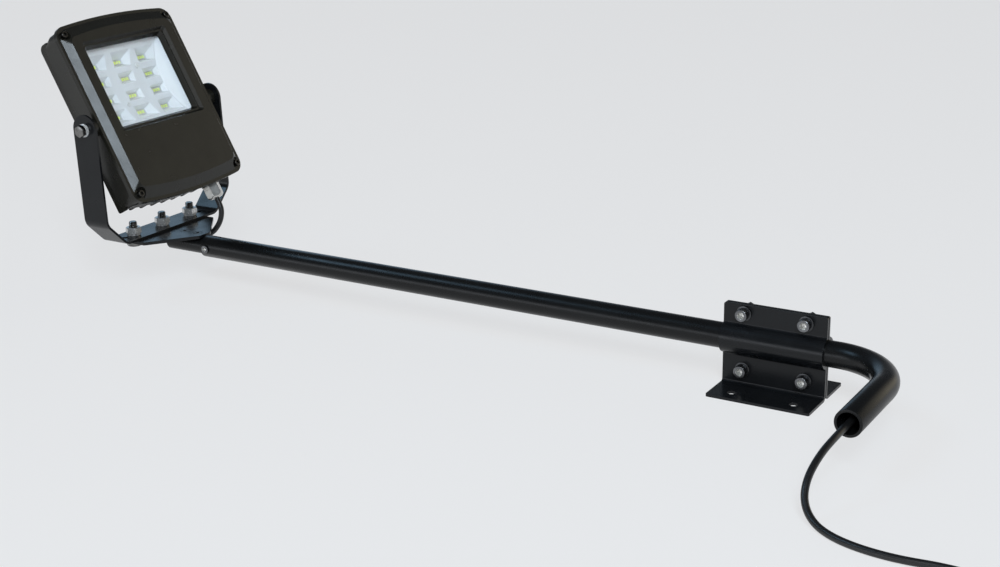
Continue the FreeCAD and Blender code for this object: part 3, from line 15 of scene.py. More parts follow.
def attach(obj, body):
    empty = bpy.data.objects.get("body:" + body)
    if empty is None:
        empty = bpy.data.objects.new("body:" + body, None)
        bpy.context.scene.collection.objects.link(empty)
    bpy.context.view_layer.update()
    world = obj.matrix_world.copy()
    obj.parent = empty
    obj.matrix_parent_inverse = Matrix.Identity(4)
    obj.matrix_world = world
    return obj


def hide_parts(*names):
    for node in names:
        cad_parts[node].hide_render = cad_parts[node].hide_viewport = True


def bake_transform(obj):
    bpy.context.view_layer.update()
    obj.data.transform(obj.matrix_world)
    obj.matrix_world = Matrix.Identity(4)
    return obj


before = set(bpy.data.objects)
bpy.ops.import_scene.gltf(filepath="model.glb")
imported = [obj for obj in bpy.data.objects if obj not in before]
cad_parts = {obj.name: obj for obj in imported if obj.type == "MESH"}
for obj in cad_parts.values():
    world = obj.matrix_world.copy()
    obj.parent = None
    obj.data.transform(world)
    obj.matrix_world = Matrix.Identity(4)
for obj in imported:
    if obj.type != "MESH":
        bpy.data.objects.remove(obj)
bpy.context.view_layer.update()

log = logging.getLogger("sign_light")

Point = tuple[float, float, float]
Colour = tuple[float, float, float]
Pair = tuple[float, float]
Row = tuple[Any, Any]
Socket = bpy.types.NodeSocket

SHARP_ANGLE = math.radians(32)
CAST_ANGLE = math.radians(19)
DISH_ANGLE = math.radians(60)
MERGE_DISTANCE = 2e-6
FLAT_ANGLE = math.radians(0.5)
NOISE_ENDS = (0.3, 0.7)

# Directions in which fasteners stand up
UP: Point = (0.0, 0.0, 1.0)
DOWN: Point = (0.0, 0.0, -1.0)
FRONT: Point = (0.0, -1.0, 0.0)
BACK: Point = (0.0, 1.0, 0.0)

# Hexagons: reach of a corner and of the flat top as shares of the width, and slope of the chamfer
CORNER_REACH = 0.57
FLAT_REACH = 0.47
CHAMFER_SLOPE = math.tan(math.radians(28))

# Threads: depth and tapered tip as shares of the pitch, rows in one pitch, steepness of the flanks
THREAD_DEPTH = 0.55
THREAD_TIP = 0.7
THREAD_ROWS = 8
THREAD_FLANK = 1.25

# Points round hexagons, washers, the arm's tube and the lamp's lead
HEX_POINTS = 48
RING_POINTS = 64
ARM_POINTS = 72
LEAD_POINTS = 24


class Body(str, Enum):
    """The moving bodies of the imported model."""

    CLAMP = "clamp"
    ARM = "arm"
    CARRIER = "carrier"
    HEAD = "head"


# Finishes


class NodeBoard:
    """A node tree of a material or of the world, with short ways to add what the looks share."""

    def __init__(self, tree: bpy.types.NodeTree) -> None:
        """Work on a tree."""
        self.tree = tree

    def feed(self, target: Socket, value: Any) -> None:
        """Link an output to an input, or set the input, or leave it for None.

        Args:
            target: The input.
            value: An output, a number, a vector, a colour or None.
        """
        if isinstance(value, Socket):
            self.tree.links.new(value, target)
        elif value is not None:
            target.default_value = (*value, 1.0) if target.type == "RGBA" else value

    def add(self, kind: str, feeds: dict[Any, Any] | None = None, **values: Any) -> bpy.types.Node:
        """Add a node, set its properties and feed its inputs.

        Args:
            kind: Blender's name for the node type.
            feeds: What goes into each input, by its name or place.
            values: Properties by name.

        Returns:
            The node.
        """
        node = self.tree.nodes.new(kind)
        for name, value in values.items():
            setattr(node, name, value)
        for name, value in (feeds or {}).items():
            self.feed(node.inputs[name], value)
        return node

    def spread(self, grey: Socket, low: Any, high: Any, ends: Pair = NOISE_ENDS,
               curve: str = "LINEAR") -> Socket:
        """Map a grey value from between two ends, along a curve, to between two results."""
        feeds = {"Value": grey, "From Min": ends[0], "From Max": ends[1], "To Min": low, "To Max": high}
        return self.add("ShaderNodeMapRange", feeds, interpolation_type=curve).outputs["Result"]

    def tint(self, grey: Socket, dark: Colour, light: Colour, ends: Pair = NOISE_ENDS) -> Socket:
        """Colour that goes from dark to light as a grey value goes from end to end.

        Args:
            grey: The value.
            dark: First colour.
            light: Second colour.
            ends: Where the change starts and stops.

        Returns:
            The colour.
        """
        node = self.add("ShaderNodeValToRGB", {"Fac": grey})
        for stop, position, colour in zip(node.color_ramp.elements, ends, (dark, light)):
            stop.position, stop.color = position, (*colour, 1.0)
        return node.outputs["Color"]

    def mix(self, share: Socket, first: Socket, second: Socket) -> Socket:
        """Shader that goes from the first to the second with a share."""
        return self.add("ShaderNodeMixShader", {0: share, 1: first, 2: second}).outputs["Shader"]

    def rays(self, *kinds: str) -> Socket:
        """1 for rays of the given kinds, 0 for others: the largest of the kinds' flags.

        Args:
            kinds: Outputs of the Light Path node.

        Returns:
            The flag.
        """
        path = self.add("ShaderNodeLightPath")
        flag = path.outputs[kinds[0]]
        for kind in kinds[1:]:
            either = self.add("ShaderNodeMath", {0: flag, 1: path.outputs[kind]}, operation="MAXIMUM")
            flag = either.outputs["Value"]
        return flag


class NodeSheet(NodeBoard):
    """Node tree of one material, with its Principled surface and Object coordinates."""

    def __init__(self, name: str) -> None:
        """Start a material.

        Args:
            name: Its name.
        """
        self.material = bpy.data.materials.new(name)
        self.material.use_nodes = True
        super().__init__(self.material.node_tree)
        self.surface = self.tree.nodes["Principled BSDF"]
        self.place = self.add("ShaderNodeTexCoord").outputs["Object"]

    def put(self, **values: Any) -> None:
        """Feed inputs of the Principled surface, an underscore standing for a space."""
        for name, value in values.items():
            self.feed(self.surface.inputs[name.replace("_", " ")], value)

    def blend_surface(self, share: Socket, shader: Socket) -> None:
        """Let another shader take the Principled surface's place by a share."""
        mixed = self.mix(share, self.surface.outputs["BSDF"], shader)
        self.feed(self.tree.nodes["Material Output"].inputs["Surface"], mixed)

    def noise(self, size: float, detail: float) -> Socket:
        """Grey noise on Object coordinates, in patches of a size in metres with octaves of detail."""
        feeds = {"Vector": self.place, "Scale": 1.0 / size, "Detail": detail}
        return self.add("ShaderNodeTexNoise", feeds).outputs["Fac"]

    def bump(self, height: Socket, depth: float, under: Socket | None = None) -> Socket:
        """Normal of a relief, its depth in metres from grey 0 to 1, over that of a coarser one."""
        feeds = {"Strength": 1.0, "Distance": depth, "Height": height, "Normal": under}
        return self.add("ShaderNodeBump", feeds).outputs["Normal"]


@dataclass(frozen=True)
class Finish:
    """A material of the object, made once and shared by the pieces that wear it."""

    name: str
    slot: str

    def material(self) -> bpy.types.Material:
        """Make the material, or find it if it was made before.

        Returns:
            The material.
        """
        made = bpy.data.materials.get(self.name)
        if made is None:
            sheet = NodeSheet(self.name)
            self.dress(sheet)
            made = sheet.material
        return made

    def dress(self, sheet: NodeSheet) -> None:
        """Fill in the node tree; each kind of finish does this in its own way."""
        raise NotImplementedError


@dataclass(frozen=True)
class PowderCoat(Finish):
    """Baked satin coat: slight orange peel over a fine grain, broad mottling of colour and gloss."""

    dark: Colour
    light: Colour
    smooth: float
    rough: float
    peel: float
    peel_depth: float
    gleam: float
    grain: float = 0.0005
    grain_depth: float = 0.000006
    mottle: float = 0.035
    sheen: float = 0.02

    def dress(self, sheet: NodeSheet) -> None:
        """Mottled colour and gloss over two scales of relief.

        Args:
            sheet: Nodes of the material.
        """
        relief = sheet.bump(sheet.noise(self.peel, 1.0), self.peel_depth)
        fine = sheet.noise(self.grain, 1.0)
        sheet.put(Base_Color=sheet.tint(sheet.noise(self.mottle, 3.0), self.dark, self.light),
                  Roughness=sheet.spread(sheet.noise(self.sheen, 4.0), self.smooth, self.rough),
                  Normal=sheet.bump(fine, self.grain_depth, under=relief),
                  Specular_IOR_Level=self.gleam)


@dataclass(frozen=True)
class PlatedSteel(Finish):
    """Plated or bare metal of fasteners: clouded colour, cloudy gloss and fine pits."""

    dark: Colour
    light: Colour
    smooth: float = 0.12
    rough: float = 0.24
    metal: float = 1.0
    cloud: float = 0.009
    film: float = 0.0025
    pit: float = 0.0004
    pit_depth: float = 0.000004

    def dress(self, sheet: NodeSheet) -> None:
        """Metal with clouded colour and gloss and a fine pitted relief.

        Args:
            sheet: Nodes of the material.
        """
        sheet.put(Base_Color=sheet.tint(sheet.noise(self.cloud, 3.0), self.dark, self.light),
                  Metallic=self.metal,
                  Roughness=sheet.spread(sheet.noise(self.film, 3.0), self.smooth, self.rough),
                  Normal=sheet.bump(sheet.noise(self.pit, 2.0), self.pit_depth))


@dataclass(frozen=True)
class Moulding(Finish):
    """Moulded or extruded plastic and rubber: even colour, faint flow clouds, a fine skin, and a painted
    glow where one is given.
    """

    dark: Colour
    light: Colour
    smooth: float = 0.35
    rough: float = 0.5
    skin: float = 0.0008
    skin_depth: float = 0.00002
    cloud: float = 0.02
    film_share: float = 0.4
    # painted glow: emission colour that brightens the part without any lamp
    painted_glow: Colour = (0.0, 0.0, 0.0)

    def dress(self, sheet: NodeSheet) -> None:
        """Clouded colour and gloss over one fine relief, with the painted glow as emission.

        Args:
            sheet: Nodes of the material.
        """
        film = sheet.noise(self.cloud * self.film_share, 3.0)
        sheet.put(Base_Color=sheet.tint(sheet.noise(self.cloud, 3.0), self.dark, self.light),
                  Roughness=sheet.spread(film, self.smooth, self.rough),
                  Normal=sheet.bump(sheet.noise(self.skin, 2.0), self.skin_depth),
                  # painted glow: emission that brightens the part though it is no lamp
                  Emission_Color=self.painted_glow, Emission_Strength=1.0)


@dataclass(frozen=True)
class ClearPane(Finish):
    """Toughened window glass with a faint green body; lamps shine through it."""

    body: Colour = (0.97, 0.985, 0.98)
    index: float = 1.5
    haze: float = 0.03
    rough: float = 0.02

    def dress(self, sheet: NodeSheet) -> None:
        """Clear glass for every ray but shadow rays, which pass.

        Args:
            sheet: Nodes of the material.
        """
        sheet.put(Base_Color=self.body, Transmission_Weight=1.0, IOR=self.index,
                  Roughness=sheet.spread(sheet.noise(self.haze, 2.0), 0.0, self.rough))
        clear = sheet.add("ShaderNodeBsdfTransparent").outputs["BSDF"]
        sheet.blend_surface(sheet.rays("Is Shadow Ray"), clear)


TUBE_COAT = PowderCoat(
    "tube_coat", "steel_black", dark=(0.0060, 0.0062, 0.0065), light=(0.0078, 0.0080, 0.0084),
    smooth=0.25, rough=0.31, peel=0.003, peel_depth=0.00001, grain_depth=0.000003, gleam=0.25)
SHEET_COAT = PowderCoat(
    "sheet_coat", "steel_black", dark=(0.0068, 0.0074, 0.0085), light=(0.0095, 0.0102, 0.0115),
    smooth=0.2, rough=0.28, peel=0.004, peel_depth=0.000012, grain_depth=0.000003, gleam=0.27)
CAST_COAT = PowderCoat(
    "cast_coat", "cast_black", dark=(0.0155, 0.0146, 0.0112), light=(0.0205, 0.0193, 0.0148),
    smooth=0.22, rough=0.28, peel=0.0013, peel_depth=0.000012, gleam=0.34)
ZINC = PlatedSteel(
    "zinc_plate", "zinc", dark=(0.62, 0.615, 0.605), light=(0.78, 0.775, 0.765),
    smooth=0.18, rough=0.3, metal=0.5)
STUD_STEEL = PlatedSteel(
    "stud_steel", "zinc", dark=(0.13, 0.128, 0.124), light=(0.24, 0.236, 0.23), smooth=0.2, rough=0.32)
NICKEL = PlatedSteel(
    "nickel_plate", "nickel", dark=(0.55, 0.54, 0.51), light=(0.74, 0.73, 0.70),
    smooth=0.14, rough=0.24, metal=0.6)
DARK_ZINC = PlatedSteel(
    "dark_zinc", "zinc", dark=(0.035, 0.034, 0.032), light=(0.07, 0.068, 0.064), smooth=0.25, rough=0.4)
BLACK_STEEL = PlatedSteel(
    "black_steel", "zinc", dark=(0.05, 0.051, 0.054), light=(0.09, 0.092, 0.097), smooth=0.24, rough=0.36)
SCREW_STEEL = PlatedSteel(
    "screw_steel", "zinc", dark=(0.13, 0.133, 0.14), light=(0.22, 0.224, 0.234), smooth=0.2, rough=0.32)
LACQUER = Moulding(
    "white_lacquer", "zinc", dark=(0.78, 0.79, 0.80), light=(0.84, 0.85, 0.86),
    smooth=0.2, rough=0.3, skin=0.0004, skin_depth=0.000004, cloud=0.003)
SHEATH = Moulding(
    "flex_sheath", "flex_black", dark=(0.0075, 0.0075, 0.0078), light=(0.012, 0.012, 0.0122),
    smooth=0.3, rough=0.42, skin=0.0012)
RUBBER = Moulding(
    "seal_rubber", "rubber_black", dark=(0.008, 0.008, 0.008), light=(0.014, 0.014, 0.013),
    smooth=0.55, rough=0.7)
# painted glow: bluish emission that lifts the reflector's shaded pocket walls, standing in for light bounced
# inside it
REFLECTOR_WHITE = Moulding(
    "reflector_white", "reflector_white", dark=(0.70, 0.73, 0.78), light=(0.73, 0.76, 0.805),
    smooth=0.16, rough=0.26, skin=0.0005, skin_depth=0.000004, painted_glow=(0.175, 0.195, 0.24))
# painted glow: emission that keeps the LED board and packages white at the shaded foot of each pocket
BOARD_WHITE = Moulding(
    "board_white", "board_white", dark=(0.84, 0.85, 0.86), light=(0.89, 0.90, 0.91),
    smooth=0.35, rough=0.5, skin=0.0003, skin_depth=0.00001, painted_glow=(0.42, 0.43, 0.45))
# painted glow: emission that keeps the unlit LED dots bright yellow-green in the shaded pockets
PHOSPHOR = Moulding(
    "phosphor", "led_yellow", dark=(0.62, 0.86, 0.004), light=(0.70, 0.93, 0.008),
    smooth=0.3, rough=0.42, skin=0.0002, cloud=0.001, painted_glow=(0.40, 0.54, 0.0))
DRIVER_CASE = Moulding("driver_case", "driver_black", dark=(0.013, 0.013, 0.014), light=(0.02, 0.02, 0.021))
NYLON = Moulding("tie_nylon", "tie_black", dark=(0.010, 0.010, 0.011), light=(0.017, 0.017, 0.018))
CORE_GREY = Moulding(
    "core_grey", "core_grey", dark=(0.15, 0.15, 0.155), light=(0.21, 0.21, 0.215), cloud=0.004)
COPPER = PlatedSteel("copper", "copper", dark=(0.60, 0.25, 0.12), light=(0.88, 0.44, 0.26))
GLASS = ClearPane("window_pane", "glass")


# Meshes


@dataclass
class Patch:
    """Vertices and faces of one closed or open skin."""

    points: np.ndarray
    faces: list[Sequence[int]]


def skin(rows: np.ndarray, ring: bool = True, loop: bool = False) -> Patch:
    """Quads between neighbouring rows of points; the ends of an open tube are closed.

    Args:
        rows: Points, an array of rows x columns x 3.
        ring: Whether the last column joins the first.
        loop: Whether the last row joins the first.

    Returns:
        The skin; its faces look along (column direction) x (row direction).
    """
    count, width = rows.shape[:2]
    index = np.arange(count * width).reshape(count, width)
    low = index if loop else index[:-1]
    high = np.roll(index, -1, axis=0) if loop else index[1:]
    if ring:
        low_next, high_next = np.roll(low, -1, axis=1), np.roll(high, -1, axis=1)
    else:
        low, low_next, high, high_next = low[:, :-1], low[:, 1:], high[:, :-1], high[:, 1:]
    faces: list[Sequence[int]] = np.stack(
        (low, low_next, high_next, high), axis=-1).reshape(-1, 4).tolist()
    if ring and not loop:
        faces += [index[0, ::-1].tolist(), index[-1].tolist()]
    return Patch(rows.reshape(-1, 3), faces)


def turn(segments: int) -> np.ndarray:
    """Angles of one whole turn."""
    return np.arange(segments) * (2 * math.pi / segments)


def centred(count: int, pitch: float) -> np.ndarray:
    """Places of equal steps about their middle."""
    return (np.arange(count) - (count - 1) / 2) * pitch


def turned(rows: Sequence[Row], segments: int, loop: bool = False) -> Patch:
    """Skin of a turned piece, its axis along local z.

    Args:
        rows: Radius and height of each row, numbers or arrays over the angle.
        segments: Points round the axis.
        loop: Whether the last row joins the first, as in a ring.

    Returns:
        The skin.
    """
    angle = turn(segments)
    radius = np.stack([np.broadcast_to(row[0], segments) for row in rows])
    height = np.stack([np.broadcast_to(row[1], segments) for row in rows])
    points = np.stack((radius * np.cos(angle), radius * np.sin(angle), height), axis=-1)
    return skin(points, loop=loop)


def hexagon(across: float, segments: int) -> np.ndarray:
    """Radius of a hexagon over the angle: half its width across flats over the cosine of the angle
    from the nearest flat, held back a little at the corners."""
    away = np.mod(turn(segments) + math.pi / 6, math.pi / 3) - math.pi / 6
    return np.minimum(across / 2 / np.cos(away), across * CORNER_REACH)


def shade(mesh: bpy.types.Mesh, angle: float = SHARP_ANGLE) -> None:
    """Smooth shading except at edges sharper than an angle."""
    mesh.polygons.foreach_set("use_smooth", np.ones(len(mesh.polygons), dtype=bool))
    mesh.set_sharp_from_angle(angle=angle)


def settle(piece: bpy.types.Object, body: Body, finish: Finish, nodes: Sequence[str]) -> bpy.types.Object:
    """Give a piece its finish, its body and the CAD nodes that it stands for.

    Args:
        piece: The piece.
        body: What it moves with.
        finish: Its material.
        nodes: CAD nodes that it replaces.

    Returns:
        The piece.
    """
    if not piece.data.materials:
        piece.data.materials.append(finish.material())
    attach(piece, body.value)
    if nodes:
        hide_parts(*nodes)
    log.info("%s on %s for %s", piece.name, body.value, ", ".join(nodes) or "no node")
    return piece


def show(name: str, data: bpy.types.ID) -> bpy.types.Object:
    """Put data into the scene as an object at the origin.

    Args:
        name: Name of the object.
        data: Mesh, curve, lamp or camera.

    Returns:
        The object.
    """
    piece = bpy.data.objects.new(name, data)
    bpy.context.scene.collection.objects.link(piece)
    return piece


def mesh_piece(name: str, patches: Sequence[Patch], angle: float = SHARP_ANGLE) -> bpy.types.Object:
    """Object made of skins, the corners of each counted on from the points before it.

    Args:
        name: Name of the piece.
        patches: Its skins, in the row frame.
        angle: Edges sharper than this are shaded sharp.

    Returns:
        The object.
    """
    points, faces = [], []
    for patch in patches:
        start = len(points)
        faces += [[corner + start for corner in face] for face in patch.faces]
        points += patch.points.tolist()
    mesh = bpy.data.meshes.new(name)
    mesh.from_pydata(points, [], faces)
    shade(mesh, angle)
    return show(name, mesh)


def evaluated_mesh(piece: bpy.types.Object) -> bpy.types.Mesh:
    """Mesh of an object with its curve or its modifiers worked out."""
    graph = bpy.context.evaluated_depsgraph_get()
    return bpy.data.meshes.new_from_object(piece.evaluated_get(graph))


def softened(node: str, name: str, body: Body, finish: Finish, width: float, segments: int = 2,
             angle: float = SHARP_ANGLE) -> None:
    """Copy of a CAD node: triangles merged into whole faces, edges rounded, flats flat to the light.

    Args:
        node: The CAD node, which the copy replaces.
        name: Name of the copy.
        body: What it moves with.
        finish: Its material.
        width: Width of the rounding in metres.
        segments: Facets across it.
        angle: Edges sharper than this are rounded.
    """
    work = bmesh.new()
    work.from_mesh(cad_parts[node].data)
    bmesh.ops.remove_doubles(work, verts=work.verts, dist=MERGE_DISTANCE)
    bmesh.ops.dissolve_limit(work, angle_limit=FLAT_ANGLE, verts=work.verts, edges=work.edges)
    mesh = bpy.data.meshes.new(name)
    work.to_mesh(mesh)
    work.free()
    mesh.materials.clear()
    shade(mesh, angle)
    piece = show(name, mesh)
    bevel = piece.modifiers.new("rounded_edges", "BEVEL")
    bevel.width, bevel.segments = width, segments
    bevel.limit_method, bevel.angle_limit = "ANGLE", angle
    flats = piece.modifiers.new("flat_normals", "WEIGHTED_NORMAL")
    flats.weight, flats.keep_sharp = 100, True
    settle(piece, body, finish, [node])


def dress_node(node: str, finish: Finish) -> None:
    """Give a CAD node that stays as it is its material.

    Args:
        node: The CAD node.
        finish: Its material.
    """
    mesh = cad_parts[node].data
    mesh.materials.clear()
    mesh.materials.append(finish.material())
    log.info("%s wears %s", node, finish.name)


# Fasteners


@dataclass(frozen=True)
class Seat:
    """A place on the object, the direction in which a fastener stands up from it, and its turn."""

    place: Point
    axis: Point
    spin: float = 0.0

    def carry(self, patch: Patch) -> Patch:
        """Move a skin from a fastener's frame, z along its axis, into the row frame.

        Args:
            patch: The skin.

        Returns:
            The moved skin.
        """
        axis = np.array(self.axis) / np.linalg.norm(self.axis)
        helper = np.array((1.0, 0.0, 0.0) if abs(axis[2]) > 0.9 else UP)
        first = np.cross(axis, helper)
        first /= np.linalg.norm(first)
        first = first * math.cos(self.spin) + np.cross(axis, first) * math.sin(self.spin)
        base = np.stack((first, np.cross(axis, first), axis))
        return Patch(patch.points @ base + np.array(self.place), patch.faces)


def threaded_tip(radius: float, pitch: float, run: float, length: float, segments: int) -> list[Row]:
    """Rows of a thread from its tip up: the radius falls by a wave of the depth over the pitch
    less the share of a turn, and the end tapers.

    Args:
        radius: Outside radius.
        pitch: Height of one turn.
        run: Length of the thread.
        length: Depth of the tip below the head.
        segments: Points round the axis.

    Returns:
        Radius and height of each row.
    """
    start = length - run
    depths = np.linspace(start, length, int((length - start) / pitch * THREAD_ROWS) + 2)
    phase = depths[:, None] / pitch - turn(segments)[None, :] / (2 * math.pi)
    wave = np.abs(np.mod(phase, 1.0) - 0.5) * 2
    groove = np.clip(wave * THREAD_FLANK - (THREAD_FLANK - 1) / 2, 0, 1)
    taper = radius - np.clip(depths - (length - pitch * THREAD_TIP), 0, None)[:, None]
    radii = np.minimum(radius - pitch * THREAD_DEPTH * groove, taper)
    return [(row, -depth) for row, depth in zip(radii, depths)][::-1]


@dataclass(frozen=True)
class HexScrew:
    """Hexagon head screw, head up: chamfered head over a washer face, shank down, thread at the tip."""

    diameter: float
    across: float
    head: float
    length: float
    pitch: float
    thread: float
    washer_face: float = 0.06

    def patch(self) -> Patch:
        """Skin of the screw; a flat cone cuts the head's top edge.

        Returns:
            The skin.
        """
        side = hexagon(self.across, HEX_POINTS)
        flat = self.across * FLAT_REACH
        top = self.head - (side - flat) * CHAMFER_SLOPE
        radius = self.diameter / 2
        tip = threaded_tip(radius, self.pitch, self.thread, self.length, HEX_POINTS)
        rows = [(radius, 0.0), (flat, 0.0), (side, self.head * self.washer_face), (side, top),
                (flat, self.head)]
        return turned(tip + rows, HEX_POINTS)


@dataclass(frozen=True)
class HexNut:
    """Hexagon nut with both faces chamfered and a countersunk bore."""

    bore: float
    across: float
    height: float
    sink: float = 0.06

    def patch(self) -> Patch:
        """Skin of the nut; flat cones cut the edges of both faces.

        Returns:
            The skin.
        """
        side = hexagon(self.across, HEX_POINTS)
        flat = self.across * FLAT_REACH
        cut = (side - flat) * CHAMFER_SLOPE
        inner, lip, high = self.bore / 2, self.bore * self.sink, self.height
        rows = [(inner, lip), (inner + lip, 0.0), (flat, 0.0), (side, cut), (side, high - cut),
                (flat, high), (inner + lip, high), (inner, high - lip)]
        return turned(rows, HEX_POINTS, loop=True)


@dataclass(frozen=True)
class CapScrew:
    """Socket cap screw, head up: knurled head, rounded rim, hexagon socket with a coned floor; the socket's
    faces wear a brighter finish, a painted highlight.
    """

    diameter: float
    head_d: float
    head: float
    socket: float
    length: float
    pitch: float
    # painted highlight: brighter finish for the socket's faces, a glint inside the darker head
    painted_socket_glint: Finish
    knurl: int = 44
    points_per_rib: int = 6
    rib_depth: float = 0.012
    rim_share: float = 0.05
    mouth_share: float = 0.585
    depth_share: float = 0.58

    def inside(self, count: int) -> np.ndarray:
        """Which of so many faces line the socket: the last four rings, before the two end caps."""
        order, painted_socket_glint = np.arange(count), 4 * self.knurl * self.points_per_rib
        return (order >= count - 2 - painted_socket_glint) & (order != count - 2)

    def patch(self) -> Patch:
        """Skin of the screw; the knurl is a wave of the head's radius.

        Returns:
            The skin.
        """
        segments = self.knurl * self.points_per_rib
        wave = 0.5 + 0.5 * np.cos(turn(segments) * self.knurl)
        big, radius, top = self.head_d / 2, self.diameter / 2, self.head
        ribs = big - self.head_d * self.rib_depth * wave
        key = hexagon(self.socket, segments)
        mouth = self.socket * self.mouth_share
        rim = self.head_d * self.rim_share
        deep = top * self.depth_share
        tip = threaded_tip(radius, self.pitch, self.pitch * 3, self.length, segments)
        rows = [(radius, 0.0), (big * 0.94, 0.0), (big * 0.985, rim * 0.6), (ribs, rim),
                (ribs, top - rim * 1.5), (big * 0.985, top - rim * 1.2),
                (big * 0.955, top - rim * 0.3), (big * 0.91, top), (mouth * 1.05, top),
                (mouth, top - rim * 0.4), (key, top - rim * 1.3), (key, top - deep),
                (self.socket * 0.12, top - deep - self.socket * 0.18)]
        return turned(tip + rows, segments)


@dataclass(frozen=True)
class FlatWasher:
    """Stamped washer: its upper edges rolled, its lower ones almost sharp."""

    bore: float
    outside: float
    thickness: float
    roll: float = 0.3

    def patch(self) -> Patch:
        """Skin of the ring, with its edges rounded.

        Returns:
            The skin.
        """
        inner, outer, high = self.bore / 2, self.outside / 2, self.thickness
        soft = high * self.roll
        burr, half = soft * 0.4, soft * 0.3
        rows = [(inner, 0.0), (outer - burr, 0.0), (outer, burr), (outer, high - soft),
                (outer - half, high - half), (outer - soft, high), (inner + burr, high),
                (inner, high - burr)]
        return turned(rows, RING_POINTS, loop=True)


@dataclass(frozen=True)
class SplitWasher:
    """Spring washer: square section carried round all but a narrow slanting gap."""

    bore: float
    outside: float
    thickness: float
    gap: float = math.radians(9)
    slant: float = 1.6
    round_share: float = 0.14

    def patch(self) -> Patch:
        """Skin of the open ring: the section turns about the axis, and its gap leans with the height.

        Returns:
            The skin.
        """
        inner, outer, high = self.bore / 2, self.outside / 2, self.thickness
        soft = high * self.round_share
        section = np.array((
            (inner + soft, 0), (outer - soft, 0), (outer, soft), (outer, high - soft),
            (outer - soft, high), (inner + soft, high), (inner, high - soft), (inner, soft)))
        radius, height = section[None, :, 0], section[None, :, 1]
        angle = np.linspace(self.gap / 2, 2 * math.pi - self.gap / 2, RING_POINTS)[:, None]
        angle = angle + (height / high - 0.5) * self.gap * self.slant
        points = np.stack((radius * np.cos(angle), radius * np.sin(angle),
                           np.broadcast_to(height, angle.shape)), axis=-1)
        return skin(points[:, ::-1])


def fasteners(name: str, shape: Any, seats: Sequence[Seat], body: Body, finish: Finish, node: str) -> None:
    """One piece with the same fastener at each of its seats.

    Args:
        name: Name of the piece.
        shape: The fastener, with a patch method.
        seats: Where it sits.
        body: What it moves with.
        finish: Its material.
        node: CAD node that it replaces.
    """
    patch = shape.patch()
    piece = mesh_piece(name, [seat.carry(patch) for seat in seats])
    # a cap screw's socket faces take a brighter second finish: a painted highlight
    if isinstance(shape, CapScrew):
        piece.data.materials.append(finish.material())
        piece.data.materials.append(shape.painted_socket_glint.material())
        inside = np.tile(shape.inside(len(patch.faces)), len(seats))
        piece.data.polygons.foreach_set("material_index", inside.astype(np.int32))
    settle(piece, body, finish, [node])


# Sub-assemblies


@dataclass(frozen=True)
class ClampBracket:
    """Two pressed clamp halves that hold the arm and stand on the wall, with their four screws."""

    screw_x: float = 0.033
    screw_z: Pair = (0.0185, 0.079)
    face: float = 0.00375
    washer: FlatWasher = FlatWasher(0.0084, 0.016, 0.0016)
    # NICKEL in the socket is a painted highlight inside the dark screw head
    screw: CapScrew = CapScrew(0.008, 0.013, 0.008, 0.006, 0.0202, 0.00125, NICKEL)
    nut: HexNut = HexNut(0.0084, 0.013, 0.008)
    edge: float = 0.0007

    def build(self) -> None:
        """Both halves and all their hardware: washers on both faces, screws in front, nuts behind."""
        for node in ("clamp_front", "clamp_back"):
            softened(node, f"{node}_pressing", Body.CLAMP, SHEET_COAT, self.edge, 3)
        places = [(x, z) for x in (-self.screw_x, self.screw_x) for z in self.screw_z]
        out = self.face + self.washer.thickness
        hardware = (("clamp_washer", self.washer, self.face, (FRONT, BACK), BLACK_STEEL),
                    ("clamp_screw", self.screw, out, (FRONT,), SCREW_STEEL),
                    ("clamp_nut", self.nut, out, (BACK,), BLACK_STEEL))
        for kind, shape, height, sides, finish in hardware:
            seats = [Seat((x, side[1] * height, z), side) for x, z in places for side in sides]
            fasteners(f"{kind}_set", shape, seats, Body.CLAMP, finish, f"{kind}s")


